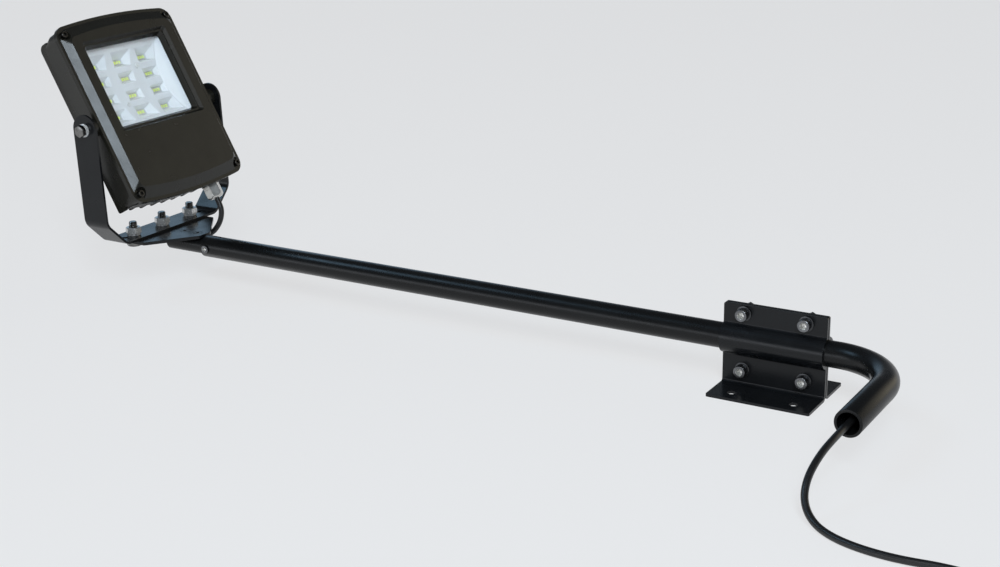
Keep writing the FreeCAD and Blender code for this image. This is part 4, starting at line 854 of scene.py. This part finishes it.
@dataclass(frozen=True)
class SupportArm:
    """Round tube with one bend and an open tail, and the screw that locks the lamp's spigot in it."""

    axis_z: float = 0.0505
    radius: float = 0.01345
    bore: float = 0.01073
    stations: tuple[float, ...] = (-0.747, -0.5, -0.25, 0.0)
    tail_x: float = 0.132
    tail_y: float = -0.160
    bend: float = 0.067
    bend_rows: int = 40
    rim: float = 0.0007
    lock_x: float = -0.738
    lock_seat_y: float = -0.01236
    # NICKEL in the socket is a painted highlight inside the dark screw head
    lock: CapScrew = CapScrew(0.006, 0.010, 0.0033, 0.004, 0.0014, 0.0004, NICKEL, knurl=36)
    spot_clear: float = 0.0003
    spot_depth: float = 0.01

    def path(self) -> tuple[np.ndarray, np.ndarray]:
        """Middle line of the tube: a straight run, a quarter circle and a straight tail.

        Returns:
            Points and unit directions, each an array of rows x 3.
        """
        quarter = np.linspace(0, math.pi / 2, self.bend_rows)
        centre = np.array((self.tail_x - self.bend, -self.bend))
        arc = centre + self.bend * np.stack((np.sin(quarter), np.cos(quarter)), axis=-1)
        heading = np.stack((np.cos(quarter), -np.sin(quarter)), axis=-1)
        run = np.column_stack((self.stations, np.zeros(len(self.stations))))
        flat = np.concatenate((run, arc, ((self.tail_x, self.tail_y),)))
        along = np.concatenate((np.tile((1.0, 0.0), (len(run), 1)), heading, ((0.0, -1.0),)))
        points = np.column_stack((flat, np.full(len(flat), self.axis_z)))
        return points, np.column_stack((along, np.zeros(len(along))))

    def tube(self) -> Patch:
        """Skin of the tube: a circle carried along the path, over rounded rims and back along the bore.

        Returns:
            The skin.
        """
        points, along = self.path()
        rim, thick = self.rim, self.radius - self.bore
        steps = np.array(((0.0, thick - rim), (rim * 0.3, thick - rim * 0.3), (rim, thick)))
        centre = np.concatenate((points[0] + along[0] * steps[:, :1], points[1:-1],
                                 points[-1] - along[-1] * steps[::-1, :1], points[::-1]))
        heading = np.concatenate((np.tile(along[0], (3, 1)), along[1:-1],
                                  np.tile(along[-1], (3, 1)), along[::-1]))
        radius = np.concatenate((self.bore + steps[:, 1], np.full(len(points) - 2, self.radius),
                                 self.bore + steps[::-1, 1], np.full(len(points), self.bore)))
        side = np.stack((-heading[:, 1], heading[:, 0], heading[:, 2]), axis=-1)
        angle = turn(ARM_POINTS)[None, :, None]
        round_it = np.cos(angle) * side[:, None] + np.sin(angle) * np.array(UP)
        return skin(centre[:, None] + radius[:, None, None] * round_it, loop=True)

    def build(self) -> None:
        """Tube with the spot face for its locking screw, and the screw."""
        tube = mesh_piece("arm_bent_tube", [self.tube()])
        seat = Seat((self.lock_x, self.lock_seat_y, self.axis_z), FRONT)
        bore = self.lock.head_d / 2 + self.spot_clear
        cutter = mesh_piece("spot_face", [seat.carry(turned([(bore, 0.0), (bore, self.spot_depth)], 48))])
        cut = tube.modifiers.new("spot_face", "BOOLEAN")
        cut.object = cutter
        cut.solver = "EXACT"
        mesh = evaluated_mesh(tube)
        tube.modifiers.clear()
        tube.data = mesh
        bpy.data.objects.remove(cutter)
        shade(mesh)
        settle(tube, Body.ARM, TUBE_COAT, ["arm_tube"])
        fasteners("lock_screw_body", self.lock, [seat], Body.ARM, SCREW_STEEL, "lock_screw")
        dress_node("arm_lead", SHEATH)


def nurbs_curve(name: str, points: np.ndarray) -> bpy.types.Curve:
    """Smooth open spline through its ends.

    Args:
        name: Name of the curve.
        points: Control points, an array of rows x 3.

    Returns:
        The curve, with no thickness.
    """
    curve = bpy.data.curves.new(name, "CURVE")
    curve.dimensions = "3D"
    curve.resolution_u = 10
    spline = curve.splines.new("NURBS")
    spline.points.add(len(points) - 1)
    spline.points.foreach_set("co", np.column_stack((points, np.ones(len(points)))).ravel())
    spline.order_u = 3
    spline.use_endpoint_u = True
    return curve


@dataclass(frozen=True)
class SupplyFlex:
    """Mains flex: out of the tail, down to the floor, out of the picture and into a small tied coil."""

    diameter: float = 0.0068
    route: tuple[Point, ...] = (
        (0.132, -0.16, 0.0505), (0.132, -0.188, 0.0505), (0.1285, -0.219, 0.044),
        (0.1263, -0.244, 0.031), (0.1299, -0.26, 0.0168), (0.1428, -0.2719, 0.0057),
        (0.164, -0.285, 0.0035), (0.193, -0.294, 0.0035), (0.226, -0.296, 0.0035),
        (0.262, -0.292, 0.0043), (0.30522, -0.29867, 0.0051), (0.3452, -0.29981, 0.0051))
    coil_centre: Pair = (0.352, -0.341)
    coil_radius: float = 0.041
    coil_step: float = 0.0073
    coil_low: float = 0.0051
    turns: float = 2.5
    climb_start: float = 1.0
    climb: float = 0.5
    reverse: float = 1.25
    points_per_turn: int = 16
    length: float = 0.923
    carried: tuple[tuple[str, Finish], ...] = (
        ("coil_ties", NYLON), ("flex_cores", CORE_GREY), ("core_wires", COPPER))

    def coil(self) -> np.ndarray:
        """Control points of the coil: the radius shrinks by a step each turn, then grows again one
        layer up, with a smooth climb between; points stand out so that the spline keeps the radius.

        Returns:
            Points, an array of rows x 3.
        """
        turns = np.linspace(0.0, self.turns, int(self.turns * self.points_per_turn) + 1)
        radius = (self.coil_radius - self.coil_step * np.minimum(turns, self.reverse)
                  + self.coil_step * np.maximum(turns - self.reverse, 0.0))
        radius = radius / math.cos(math.pi / self.points_per_turn)
        rise = np.clip((turns - self.climb_start) / self.climb, 0.0, 1.0)
        angle = math.pi / 2 - 2 * math.pi * turns
        return np.stack((self.coil_centre[0] + radius * np.cos(angle),
                         self.coil_centre[1] + radius * np.sin(angle),
                         self.coil_low + self.coil_step * rise ** 2 * (3 - 2 * rise)), axis=-1)

    def build(self) -> None:
        """One spline from the tail to the bared end, with the ties and cores that the CAD gives."""
        coil = self.coil()
        end = coil[-1] + np.array((-self.diameter, 0.0, 0.0))
        curve = nurbs_curve("supply_flex", np.concatenate((np.array(self.route), coil[1:], end[None])))
        curve.bevel_depth = self.diameter / 2
        curve.bevel_resolution = 6
        curve.use_fill_caps = True
        piece = settle(show("supply_flex", curve), Body.ARM, SHEATH, ["flex_free", "flex_coil"])
        for node, finish in self.carried:
            dress_node(node, finish)


def spline_line(points: np.ndarray) -> np.ndarray:
    """Points along the smooth spline of a route, as Blender works them out.

    Args:
        points: Control points, an array of rows x 3.

    Returns:
        The line, an array of rows x 3.
    """
    curve = nurbs_curve("route_line", points)
    holder = show("route_line", curve)
    mesh = evaluated_mesh(holder)
    line = np.empty(len(mesh.vertices) * 3)
    mesh.vertices.foreach_get("co", line)
    bpy.data.objects.remove(holder)
    bpy.data.meshes.remove(mesh)
    bpy.data.curves.remove(curve)
    return line.reshape(-1, 3)


def carried_tube(line: np.ndarray, radius: float) -> Patch:
    """Skin of a round tube: a circle carried along a line, untwisted by one fixed direction.

    Args:
        line: Middle line, an array of rows x 3.
        radius: Radius of the tube.

    Returns:
        The skin with closed ends.
    """
    along = np.gradient(line, axis=0)
    along /= np.linalg.norm(along, axis=1, keepdims=True)
    side = np.cross(along, np.array((1.0, 0.0, 0.0)))
    side /= np.linalg.norm(side, axis=1, keepdims=True)
    other = np.cross(along, side)
    angle = turn(LEAD_POINTS)[None, :, None]
    return skin(line[:, None] + radius * (np.cos(angle) * side[:, None] + np.sin(angle) * other[:, None]))


@dataclass(frozen=True)
class LampCarrier:
    """Spigot, tapering plate and U-shaped yoke that carry the lamp, with their bolts and its lead."""

    tube_edge: float = 0.0004
    sheet_edge: float = 0.0009
    screw_edge: float = 0.0002
    bolt_x: float = -0.8185
    bolt_y: tuple[float, ...] = (-0.051, 0.0, 0.051)
    plate_low: float = 0.06115
    strap_top: float = 0.06815
    washer: SplitWasher = SplitWasher(0.0102, 0.016, 0.002)
    spin: float = math.radians(30)
    bolt: HexScrew = HexScrew(0.010, 0.017, 0.0064, 0.024, 0.0015, 0.0075)
    nut: HexNut = HexNut(0.0104, 0.017, 0.008)
    lead_d: float = 0.0068
    lead_route: tuple[Point, ...] = (
        (-0.76698, 0.047, 0.09718), (-0.76215, 0.047, 0.08842), (-0.76, 0.04605, 0.0805),
        (-0.7604, 0.04365, 0.0713), (-0.7631, 0.04025, 0.063), (-0.7697, 0.03585, 0.0539),
        (-0.78, 0.02315, 0.0505), (-0.78, 0.01265, 0.0505))
    lead_length: float = 0.0754

    def build(self) -> None:
        """Tube, plate, yoke, bolts from below with washers and nuts on top, and lead."""
        softened("spigot_tube", "spigot_turned", Body.CARRIER, TUBE_COAT, self.tube_edge)
        softened("mount_plate", "mount_plate_cut", Body.CARRIER, SHEET_COAT, self.sheet_edge, 3)
        softened("yoke_bracket", "yoke_bent", Body.CARRIER, SHEET_COAT, self.sheet_edge, 3)
        softened("plate_screws", "plate_screw_set", Body.CARRIER, DARK_ZINC, self.screw_edge)
        nut_low = self.strap_top + self.washer.thickness
        hardware = (("yoke_washer", self.washer, self.strap_top, UP, 0.0, ZINC),
                    ("yoke_nut", self.nut, nut_low, UP, self.spin, ZINC),
                    ("yoke_bolt", self.bolt, self.plate_low, DOWN, self.spin, STUD_STEEL))
        for kind, shape, height, axis, spin, finish in hardware:
            seats = [Seat((self.bolt_x, y, height), axis, spin) for y in self.bolt_y]
            fasteners(f"{kind}_set", shape, seats, Body.CARRIER, finish, f"{kind}s")
        dress_node("lead_grommet", RUBBER)
        dress_node("spigot_lead", SHEATH)
        self.lead()

    def lead(self) -> None:
        """Short loop of flex from the lamp's gland to the spigot."""
        line = spline_line(np.array(self.lead_route))
        piece = mesh_piece("lamp_lead_loop", [carried_tube(line, self.lead_d / 2)])
        piece.data.materials.append(SHEATH.material())
        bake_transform(piece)
        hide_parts("lamp_lead")
        log.info("lamp_lead_loop between carrier and head")


@dataclass(frozen=True)
class LampHead:
    """Cast lamp: bezel, finned housing, pivot bolts, gland, window and everything behind it."""

    pivot: Point = (-0.823, 0.0, 0.21045)
    tilt: float = math.radians(28.9)
    leg_out: float = 0.1113
    washer: FlatWasher = FlatWasher(0.0084, 0.016, 0.0016)
    spring: SplitWasher = SplitWasher(0.0084, 0.0144, 0.002)
    bolt: HexScrew = HexScrew(0.008, 0.013, 0.0053, 0.020, 0.00125, 0.008)
    bezel_edge: float = 0.0012
    housing_edge: float = 0.0011
    screw_edge: float = 0.0002
    gland_edge: float = 0.0003
    plain: tuple[tuple[str, Finish], ...] = (
        ("housing_gasket", RUBBER), ("glass_gasket", RUBBER), ("window_glass", GLASS),
        ("led_board", BOARD_WHITE), ("driver_box", DRIVER_CASE), ("gland_seal", RUBBER),
        ("head_lead", SHEATH))

    def to_world(self, points: np.ndarray) -> np.ndarray:
        """Turn points of the lamp's own frame, x out of its face, about the pivot into the row frame."""
        cos, sin = math.cos(self.tilt), math.sin(self.tilt)
        return points @ np.array(((cos, 0, sin), (0, 1, 0), (-sin, 0, cos))) + np.array(self.pivot)

    def build(self) -> None:
        """Castings, hardware and the light engine."""
        for node, width in (("front_bezel", self.bezel_edge), ("rear_housing", self.housing_edge)):
            softened(node, f"{node}_casting", Body.HEAD, CAST_COAT, width, 3, CAST_ANGLE)
        softened("bezel_screws", "bezel_screw_set", Body.HEAD, DARK_ZINC, self.screw_edge)
        softened("reflector_screws", "reflector_screw_set", Body.HEAD, LACQUER, self.screw_edge)
        for node in ("gland_body", "gland_nut"):
            softened(node, f"{node}_turned", Body.HEAD, NICKEL, self.gland_edge)
        for node, finish in self.plain:
            dress_node(node, finish)
        self.pivots()
        LightEngine(self).build()

    def pivots(self) -> None:
        """Plain washer, spring washer and bolt, one on the other, on the outside of each yoke leg."""
        out = self.leg_out
        hardware = (("pivot_washer", self.washer, self.washer.thickness, ZINC),
                    ("spring_washer", self.spring, self.spring.thickness, ZINC),
                    ("pivot_bolt", self.bolt, self.bolt.head, STUD_STEEL))
        for kind, shape, thickness, finish in hardware:
            seats = [Seat((self.pivot[0], side[1] * out, self.pivot[2]), side) for side in (FRONT, BACK)]
            fasteners(f"{kind}_set", shape, seats, Body.HEAD, finish, f"{kind}s")
            out += thickness


@dataclass(frozen=True)
class LightEngine:
    """White moulded reflector with a pocket for each LED package, and the packages on their board."""

    head: LampHead
    window_z: float = 0.0405
    board_x: float = -0.0165
    rim_x: float = 0.0031
    pitch_y: float = 0.042
    pitch_z: float = 0.0225
    columns: int = 3
    rows: int = 4
    foot: Pair = (0.0093, 0.0036)
    foot_gap: float = 0.0001
    flare: Pair = (0.55, 0.5)
    dish_x: float = -0.0114
    dish_radius: float = 0.116
    dish_half: float = 0.055
    end_flare: float = 0.76
    half: Pair = (0.0665, 0.0565)
    cell: float = 0.0006
    wall: float = 0.0011
    soft: float = 0.0007
    package: Point = (0.0008, 0.013, 0.006)
    package_rise: Pair = (0.0, 0.8)
    package_square: float = 9.0
    package_round: float = 0.12
    lens: Pair = (0.00108, 0.00060)
    lens_pitch: Pair = (0.0041, 0.0018)
    lens_grid: tuple[int, int] = (3, 2)
    lens_rise: Pair = (0.7, 1.3)
    lens_square: float = 3.0
    dome_width: tuple[float, ...] = (1.0, 1.0, 0.97, 0.88, 0.7, 0.4)
    dome_rise: tuple[float, ...] = (0.0, 0.45, 0.68, 0.86, 0.96, 1.0)

    def middles(self) -> tuple[np.ndarray, np.ndarray]:
        """Places of the package columns and rows, about the middle of the window."""
        return centred(self.columns, self.pitch_y), centred(self.rows, self.pitch_z)

    def lines(self, middles: np.ndarray, foot: float, half: float) -> np.ndarray:
        """Grid lines that pass through both edges of every pocket foot.

        Args:
            middles: Places of the pockets.
            foot: Half size of a foot.
            half: Half size of the reflector.

        Returns:
            The sorted lines.
        """
        edges = np.sort(np.concatenate(((-half, half), middles - foot, middles + foot)))
        counts = np.maximum(1, np.round(np.diff(edges) / self.cell)).astype(int)
        runs = [np.linspace(a, b, n, endpoint=False) for a, b, n in zip(edges[:-1], edges[1:], counts)]
        return np.concatenate(runs + [edges[-1:]])

    def soft_low(self, a: np.ndarray, b: np.ndarray) -> np.ndarray:
        """The lower of two surfaces, with the ridge between them rounded."""
        share = np.clip(0.5 + 0.5 * (b - a) / self.soft, 0.0, 1.0)
        return b + (a - b) * share - self.soft * share * (1 - share)

    def reflector(self) -> Patch:
        """Front skin of the reflector: a trough across the lamp with flaring end walls, cut by pockets
        whose walls flare from each foot; the height is the lowest of them, with rounded ridges.

        Returns:
            The skin, open at each foot.
        """
        columns, rows = self.middles()
        grid_y, grid_z = np.meshgrid(self.lines(columns, self.foot[0], self.half[0]),
                                     self.lines(rows, self.foot[1], self.half[1]))
        trough = self.dish_x + self.dish_radius - np.sqrt(self.dish_radius ** 2 - grid_z ** 2)
        ends = self.dish_x + (np.abs(grid_y) - self.dish_half) / self.end_flare
        height = -self.soft_low(-trough, -ends)
        away_y = np.min(np.abs(grid_y[..., None] - columns), axis=-1) - self.foot[0]
        away_z = np.min(np.abs(grid_z[..., None] - rows), axis=-1) - self.foot[1]
        wall = np.maximum(away_y / self.flare[0], away_z / self.flare[1])
        pocket = self.board_x + self.foot_gap + np.maximum(wall, 0.0)
        height = np.minimum(self.soft_low(height, pocket), self.rim_x)
        patch = skin(np.stack((height, grid_y, grid_z + self.window_z), axis=-1), ring=False)
        mid_y = (away_y[:-1, :-1] + away_y[1:, 1:]) / 2
        mid_z = (away_z[:-1, :-1] + away_z[1:, 1:]) / 2
        solid = ((mid_y > 0) | (mid_z > 0)).ravel()
        return Patch(self.head.to_world(patch.points), np.array(patch.faces)[solid].tolist())

    def bases(self) -> np.ndarray:
        """Middle of each package on the board, an array of packages x 3."""
        y, z = (axis.ravel() for axis in np.meshgrid(*self.middles()))
        return np.stack((np.full(y.size, self.board_x), y, z + self.window_z), axis=-1)

    def cushions(self, half: Pair, rise: Pair, square: float, dome: float,
                 places: np.ndarray) -> list[Patch]:
        """Small cushions: rings of a superellipse that shrink as they rise.

        Args:
            half: Half width and half height.
            rise: Start and top, as shares of a package's height.
            square: Power of the superellipse, 2 for an ellipse.
            dome: Share of the full dome by which the rings shrink.
            places: Where they stand, an array of places x 3.

        Returns:
            Their skins in the row frame.
        """
        angle = turn(32)
        ring = [np.sign(wave) * np.abs(wave) ** (2 / square) for wave in (np.cos(angle), np.sin(angle))]
        width = 1 - (1 - np.array(self.dome_width)[:, None]) * dome
        lift = rise[0] + (rise[1] - rise[0]) * np.array(self.dome_rise)[:, None]
        form = skin(np.stack(np.broadcast_arrays(
            self.package[0] * lift, width * half[0] * ring[0], width * half[1] * ring[1]), axis=-1))
        return [Patch(self.head.to_world(form.points + place), form.faces) for place in places]

    def build(self) -> None:
        """Reflector, package bodies and their lenses."""
        piece = mesh_piece("reflector_moulding", [self.reflector()], DISH_ANGLE)
        thick = piece.modifiers.new("wall", "SOLIDIFY")
        thick.thickness = self.wall
        thick.offset = -1.0
        settle(piece, Body.HEAD, REFLECTOR_WHITE, ["reflector"])
        bases = self.bases()
        bodies = self.cushions((self.package[1] / 2, self.package[2] / 2), self.package_rise,
                               self.package_square, self.package_round, bases)
        settle(mesh_piece("led_package_set", bodies), Body.HEAD, BOARD_WHITE, ["led_chips"])
        y, z = np.meshgrid(*(centred(count, pitch) for count, pitch in zip(self.lens_grid, self.lens_pitch)))
        steps = np.stack((np.zeros(y.size), y.ravel(), z.ravel()), axis=-1)
        places = (bases[:, None] + steps[None]).reshape(-1, 3)
        lenses = self.cushions(self.lens, self.lens_rise, self.lens_square, 1.0, places)
        settle(mesh_piece("led_lens_set", lenses), Body.HEAD, PHOSPHOR, [])


# Studio


@dataclass(frozen=True)
class SoftBox:
    """A studio lamp, its width and height, that looks at a point."""

    name: str
    place: Point
    target: Point
    size: Pair
    power: float
    colour: Colour

    def build(self) -> None:
        """Area lamp turned towards its target."""
        data = bpy.data.lights.new(self.name, "AREA")
        data.shape = "RECTANGLE"
        data.size, data.size_y = self.size
        data.energy = self.power
        data.color = self.colour
        aim = (Vector(self.target) - Vector(self.place)).to_track_quat("-Z", "Y")
        show(self.name, data).matrix_world = Matrix.Translation(self.place) @ aim.to_matrix().to_4x4()


@dataclass(frozen=True)
class Window:
    """A soft glow in the surroundings: its middle, the cosine at which it ends, and its colour."""

    toward: Point
    edge: float
    colour: Colour


@dataclass(frozen=True)
class Studio:
    """Pale floor, soft lamps and the camera at the photograph's angle."""

    lens: float = 57.35
    sensor: float = 36.0
    azimuth: float = math.radians(31.45)
    elevation: float = math.radians(18.02)
    roll: float = math.radians(1.12)
    place: Point = (0.54877, -1.42556, 0.60907)
    far: float = 100.0
    floor_half: float = 14.0
    floor_dark: Colour = (0.80, 0.80, 0.80)
    floor_light: Colour = (0.812, 0.812, 0.812)
    floor_cloud: float = 0.6
    floor_glow: Colour = (0.925, 0.929, 0.939)
    floor_glow_share: float = 0.72
    horizon: Colour = (0.25, 0.285, 0.325)
    zenith: Colour = (0.085, 0.09, 0.096)
    horizon_height: float = 0.45
    backdrop: Colour = (0.72, 0.725, 0.735)
    backdrop_top: Pair = (0.06, 0.22)
    windows: tuple[Window, ...] = (
        Window((-0.68, 0.70, 0.22), 0.93, (0.48, 0.70, 0.92)),
        Window((0.50, 0.82, 0.27), 0.90, (0.80, 0.74, 0.61)),
        Window((0.42, 0.895, 0.15), 0.97, (1.5, 1.37, 1.08)),
        Window((-0.64, -0.768, 0.05), 0.962, (2.1, 2.2, 2.35)),
        Window((-0.50, -0.866, 0.05), 0.962, (2.3, 2.4, 2.55)),
        Window((-0.35, -0.936, 0.05), 0.962, (2.3, 2.4, 2.55)),
        Window((-0.63, -0.265, 0.73), 0.978, (2.6, 4.1, 5.5)),
    )
    lamps: tuple[SoftBox, ...] = (
        SoftBox("key_front", (0.5, -2.4, 2.3), (-0.6, 0.0, 0.12), (2.2, 2.2), 21.0, (1.0, 0.985, 0.965)),
        SoftBox("fill_right", (1.1, -1.9, 1.95), (-0.8, 0.0, 0.2), (0.6, 1.15), 33.0, (0.76, 0.89, 1.0)),
    )

    def camera(self) -> None:
        """Camera from its place, its heading and its roll; X is right, Y is up, it looks along -Z."""
        sin_a, cos_a = math.sin(self.azimuth), math.cos(self.azimuth)
        sin_e, cos_e = math.sin(self.elevation), math.cos(self.elevation)
        ahead = np.array((-sin_a * cos_e, cos_a * cos_e, -sin_e))
        level = np.array((cos_a, sin_a, 0.0))
        down = np.cross(ahead, level)
        right = math.cos(self.roll) * level + math.sin(self.roll) * down
        up = math.sin(self.roll) * level - math.cos(self.roll) * down
        matrix = np.eye(4)
        matrix[:3] = np.column_stack((right, up, -ahead, self.place))
        data = bpy.data.cameras.new("photo_camera")
        data.lens = self.lens
        data.sensor_width = self.sensor
        data.sensor_fit = "HORIZONTAL"
        data.clip_end = self.far
        camera = show("photo_camera", data)
        camera.matrix_world = Matrix(matrix.tolist())
        bpy.context.scene.camera = camera

    def floor(self) -> None:
        """Flat pale floor with a faint grain, part of whose paleness is its own glow to the eye."""
        side = np.array((-self.floor_half, self.floor_half))
        x, y = np.meshgrid(side, side)
        flat = skin(np.stack((x, y, np.zeros_like(x)), axis=-1), ring=False)
        piece = mesh_piece("studio_floor", [flat])
        sheet = NodeSheet("floor_paper")
        grain = sheet.noise(self.floor_cloud, 3.0)
        sheet.put(Base_Color=sheet.tint(grain, self.floor_dark, self.floor_light), Roughness=0.9,
                  Specular_IOR_Level=0.0)
        glow = sheet.add("ShaderNodeEmission", {"Color": self.floor_glow}).outputs["Emission"]
        seen = sheet.rays("Is Camera Ray", "Is Glossy Ray", "Is Transmission Ray")
        sheet.blend_surface(sheet.spread(seen, 0.0, self.floor_glow_share, (0.0, 1.0)), glow)
        piece.data.materials.append(sheet.material)

    def world(self) -> None:
        """Dim surroundings: grey at the horizon, dark overhead, with the soft glow of a few windows.

        A window's share is a smooth step of the cosine between a direction and the window's middle.
        The eye sees a pale backdrop instead, and so do metal and glass up to the backdrop's height.
        """
        world = bpy.data.worlds.new("studio_world")
        world.use_nodes = True
        board = NodeBoard(world.node_tree)

        def light(colour: Any) -> Socket:
            """Light of one colour from the surroundings."""
            return board.add("ShaderNodeBackground", {"Color": colour}).outputs["Background"]

        toward = board.add("ShaderNodeTexCoord").outputs["Generated"]
        height = board.add("ShaderNodeSeparateXYZ", {"Vector": toward}).outputs["Z"]
        dim = light(board.tint(height, self.horizon, self.zenith, (0.0, self.horizon_height)))
        pale = light(self.backdrop)
        mirrored = board.rays("Is Glossy Ray", "Is Transmission Ray")
        band = board.spread(height, mirrored, 0.0, self.backdrop_top, "SMOOTHSTEP")
        around = board.mix(band, dim, pale)
        for window in self.windows:
            feeds = {0: toward, 1: window.toward}
            near = board.add("ShaderNodeVectorMath", feeds, operation="DOT_PRODUCT").outputs["Value"]
            share = board.spread(near, 0.0, 1.0, (window.edge, 1.0), "SMOOTHSTEP")
            around = board.mix(share, around, light(window.colour))
        seen = board.mix(board.rays("Is Camera Ray"), around, pale)
        board.feed(world.node_tree.nodes["World Output"].inputs["Surface"], seen)
        bpy.context.scene.world = world

    def build(self) -> None:
        """Camera, floor, surroundings and lamps, seen with plain colours."""
        self.camera()
        self.floor()
        self.world()
        for lamp in self.lamps:
            lamp.build()
        bpy.context.scene.view_settings.view_transform = "Standard"


def main() -> None:
    """Build the scene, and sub-assembly by sub-assembly."""
    logging.basicConfig(level=logging.INFO, format="%(name)s: %(message)s")
    for part in (Studio(), SupplyFlex(), ClampBracket(), SupportArm(), LampCarrier(), LampHead()):
        log.info("building %s", type(part).__name__)
        part.build()


if __name__ == "__main__":
    main()
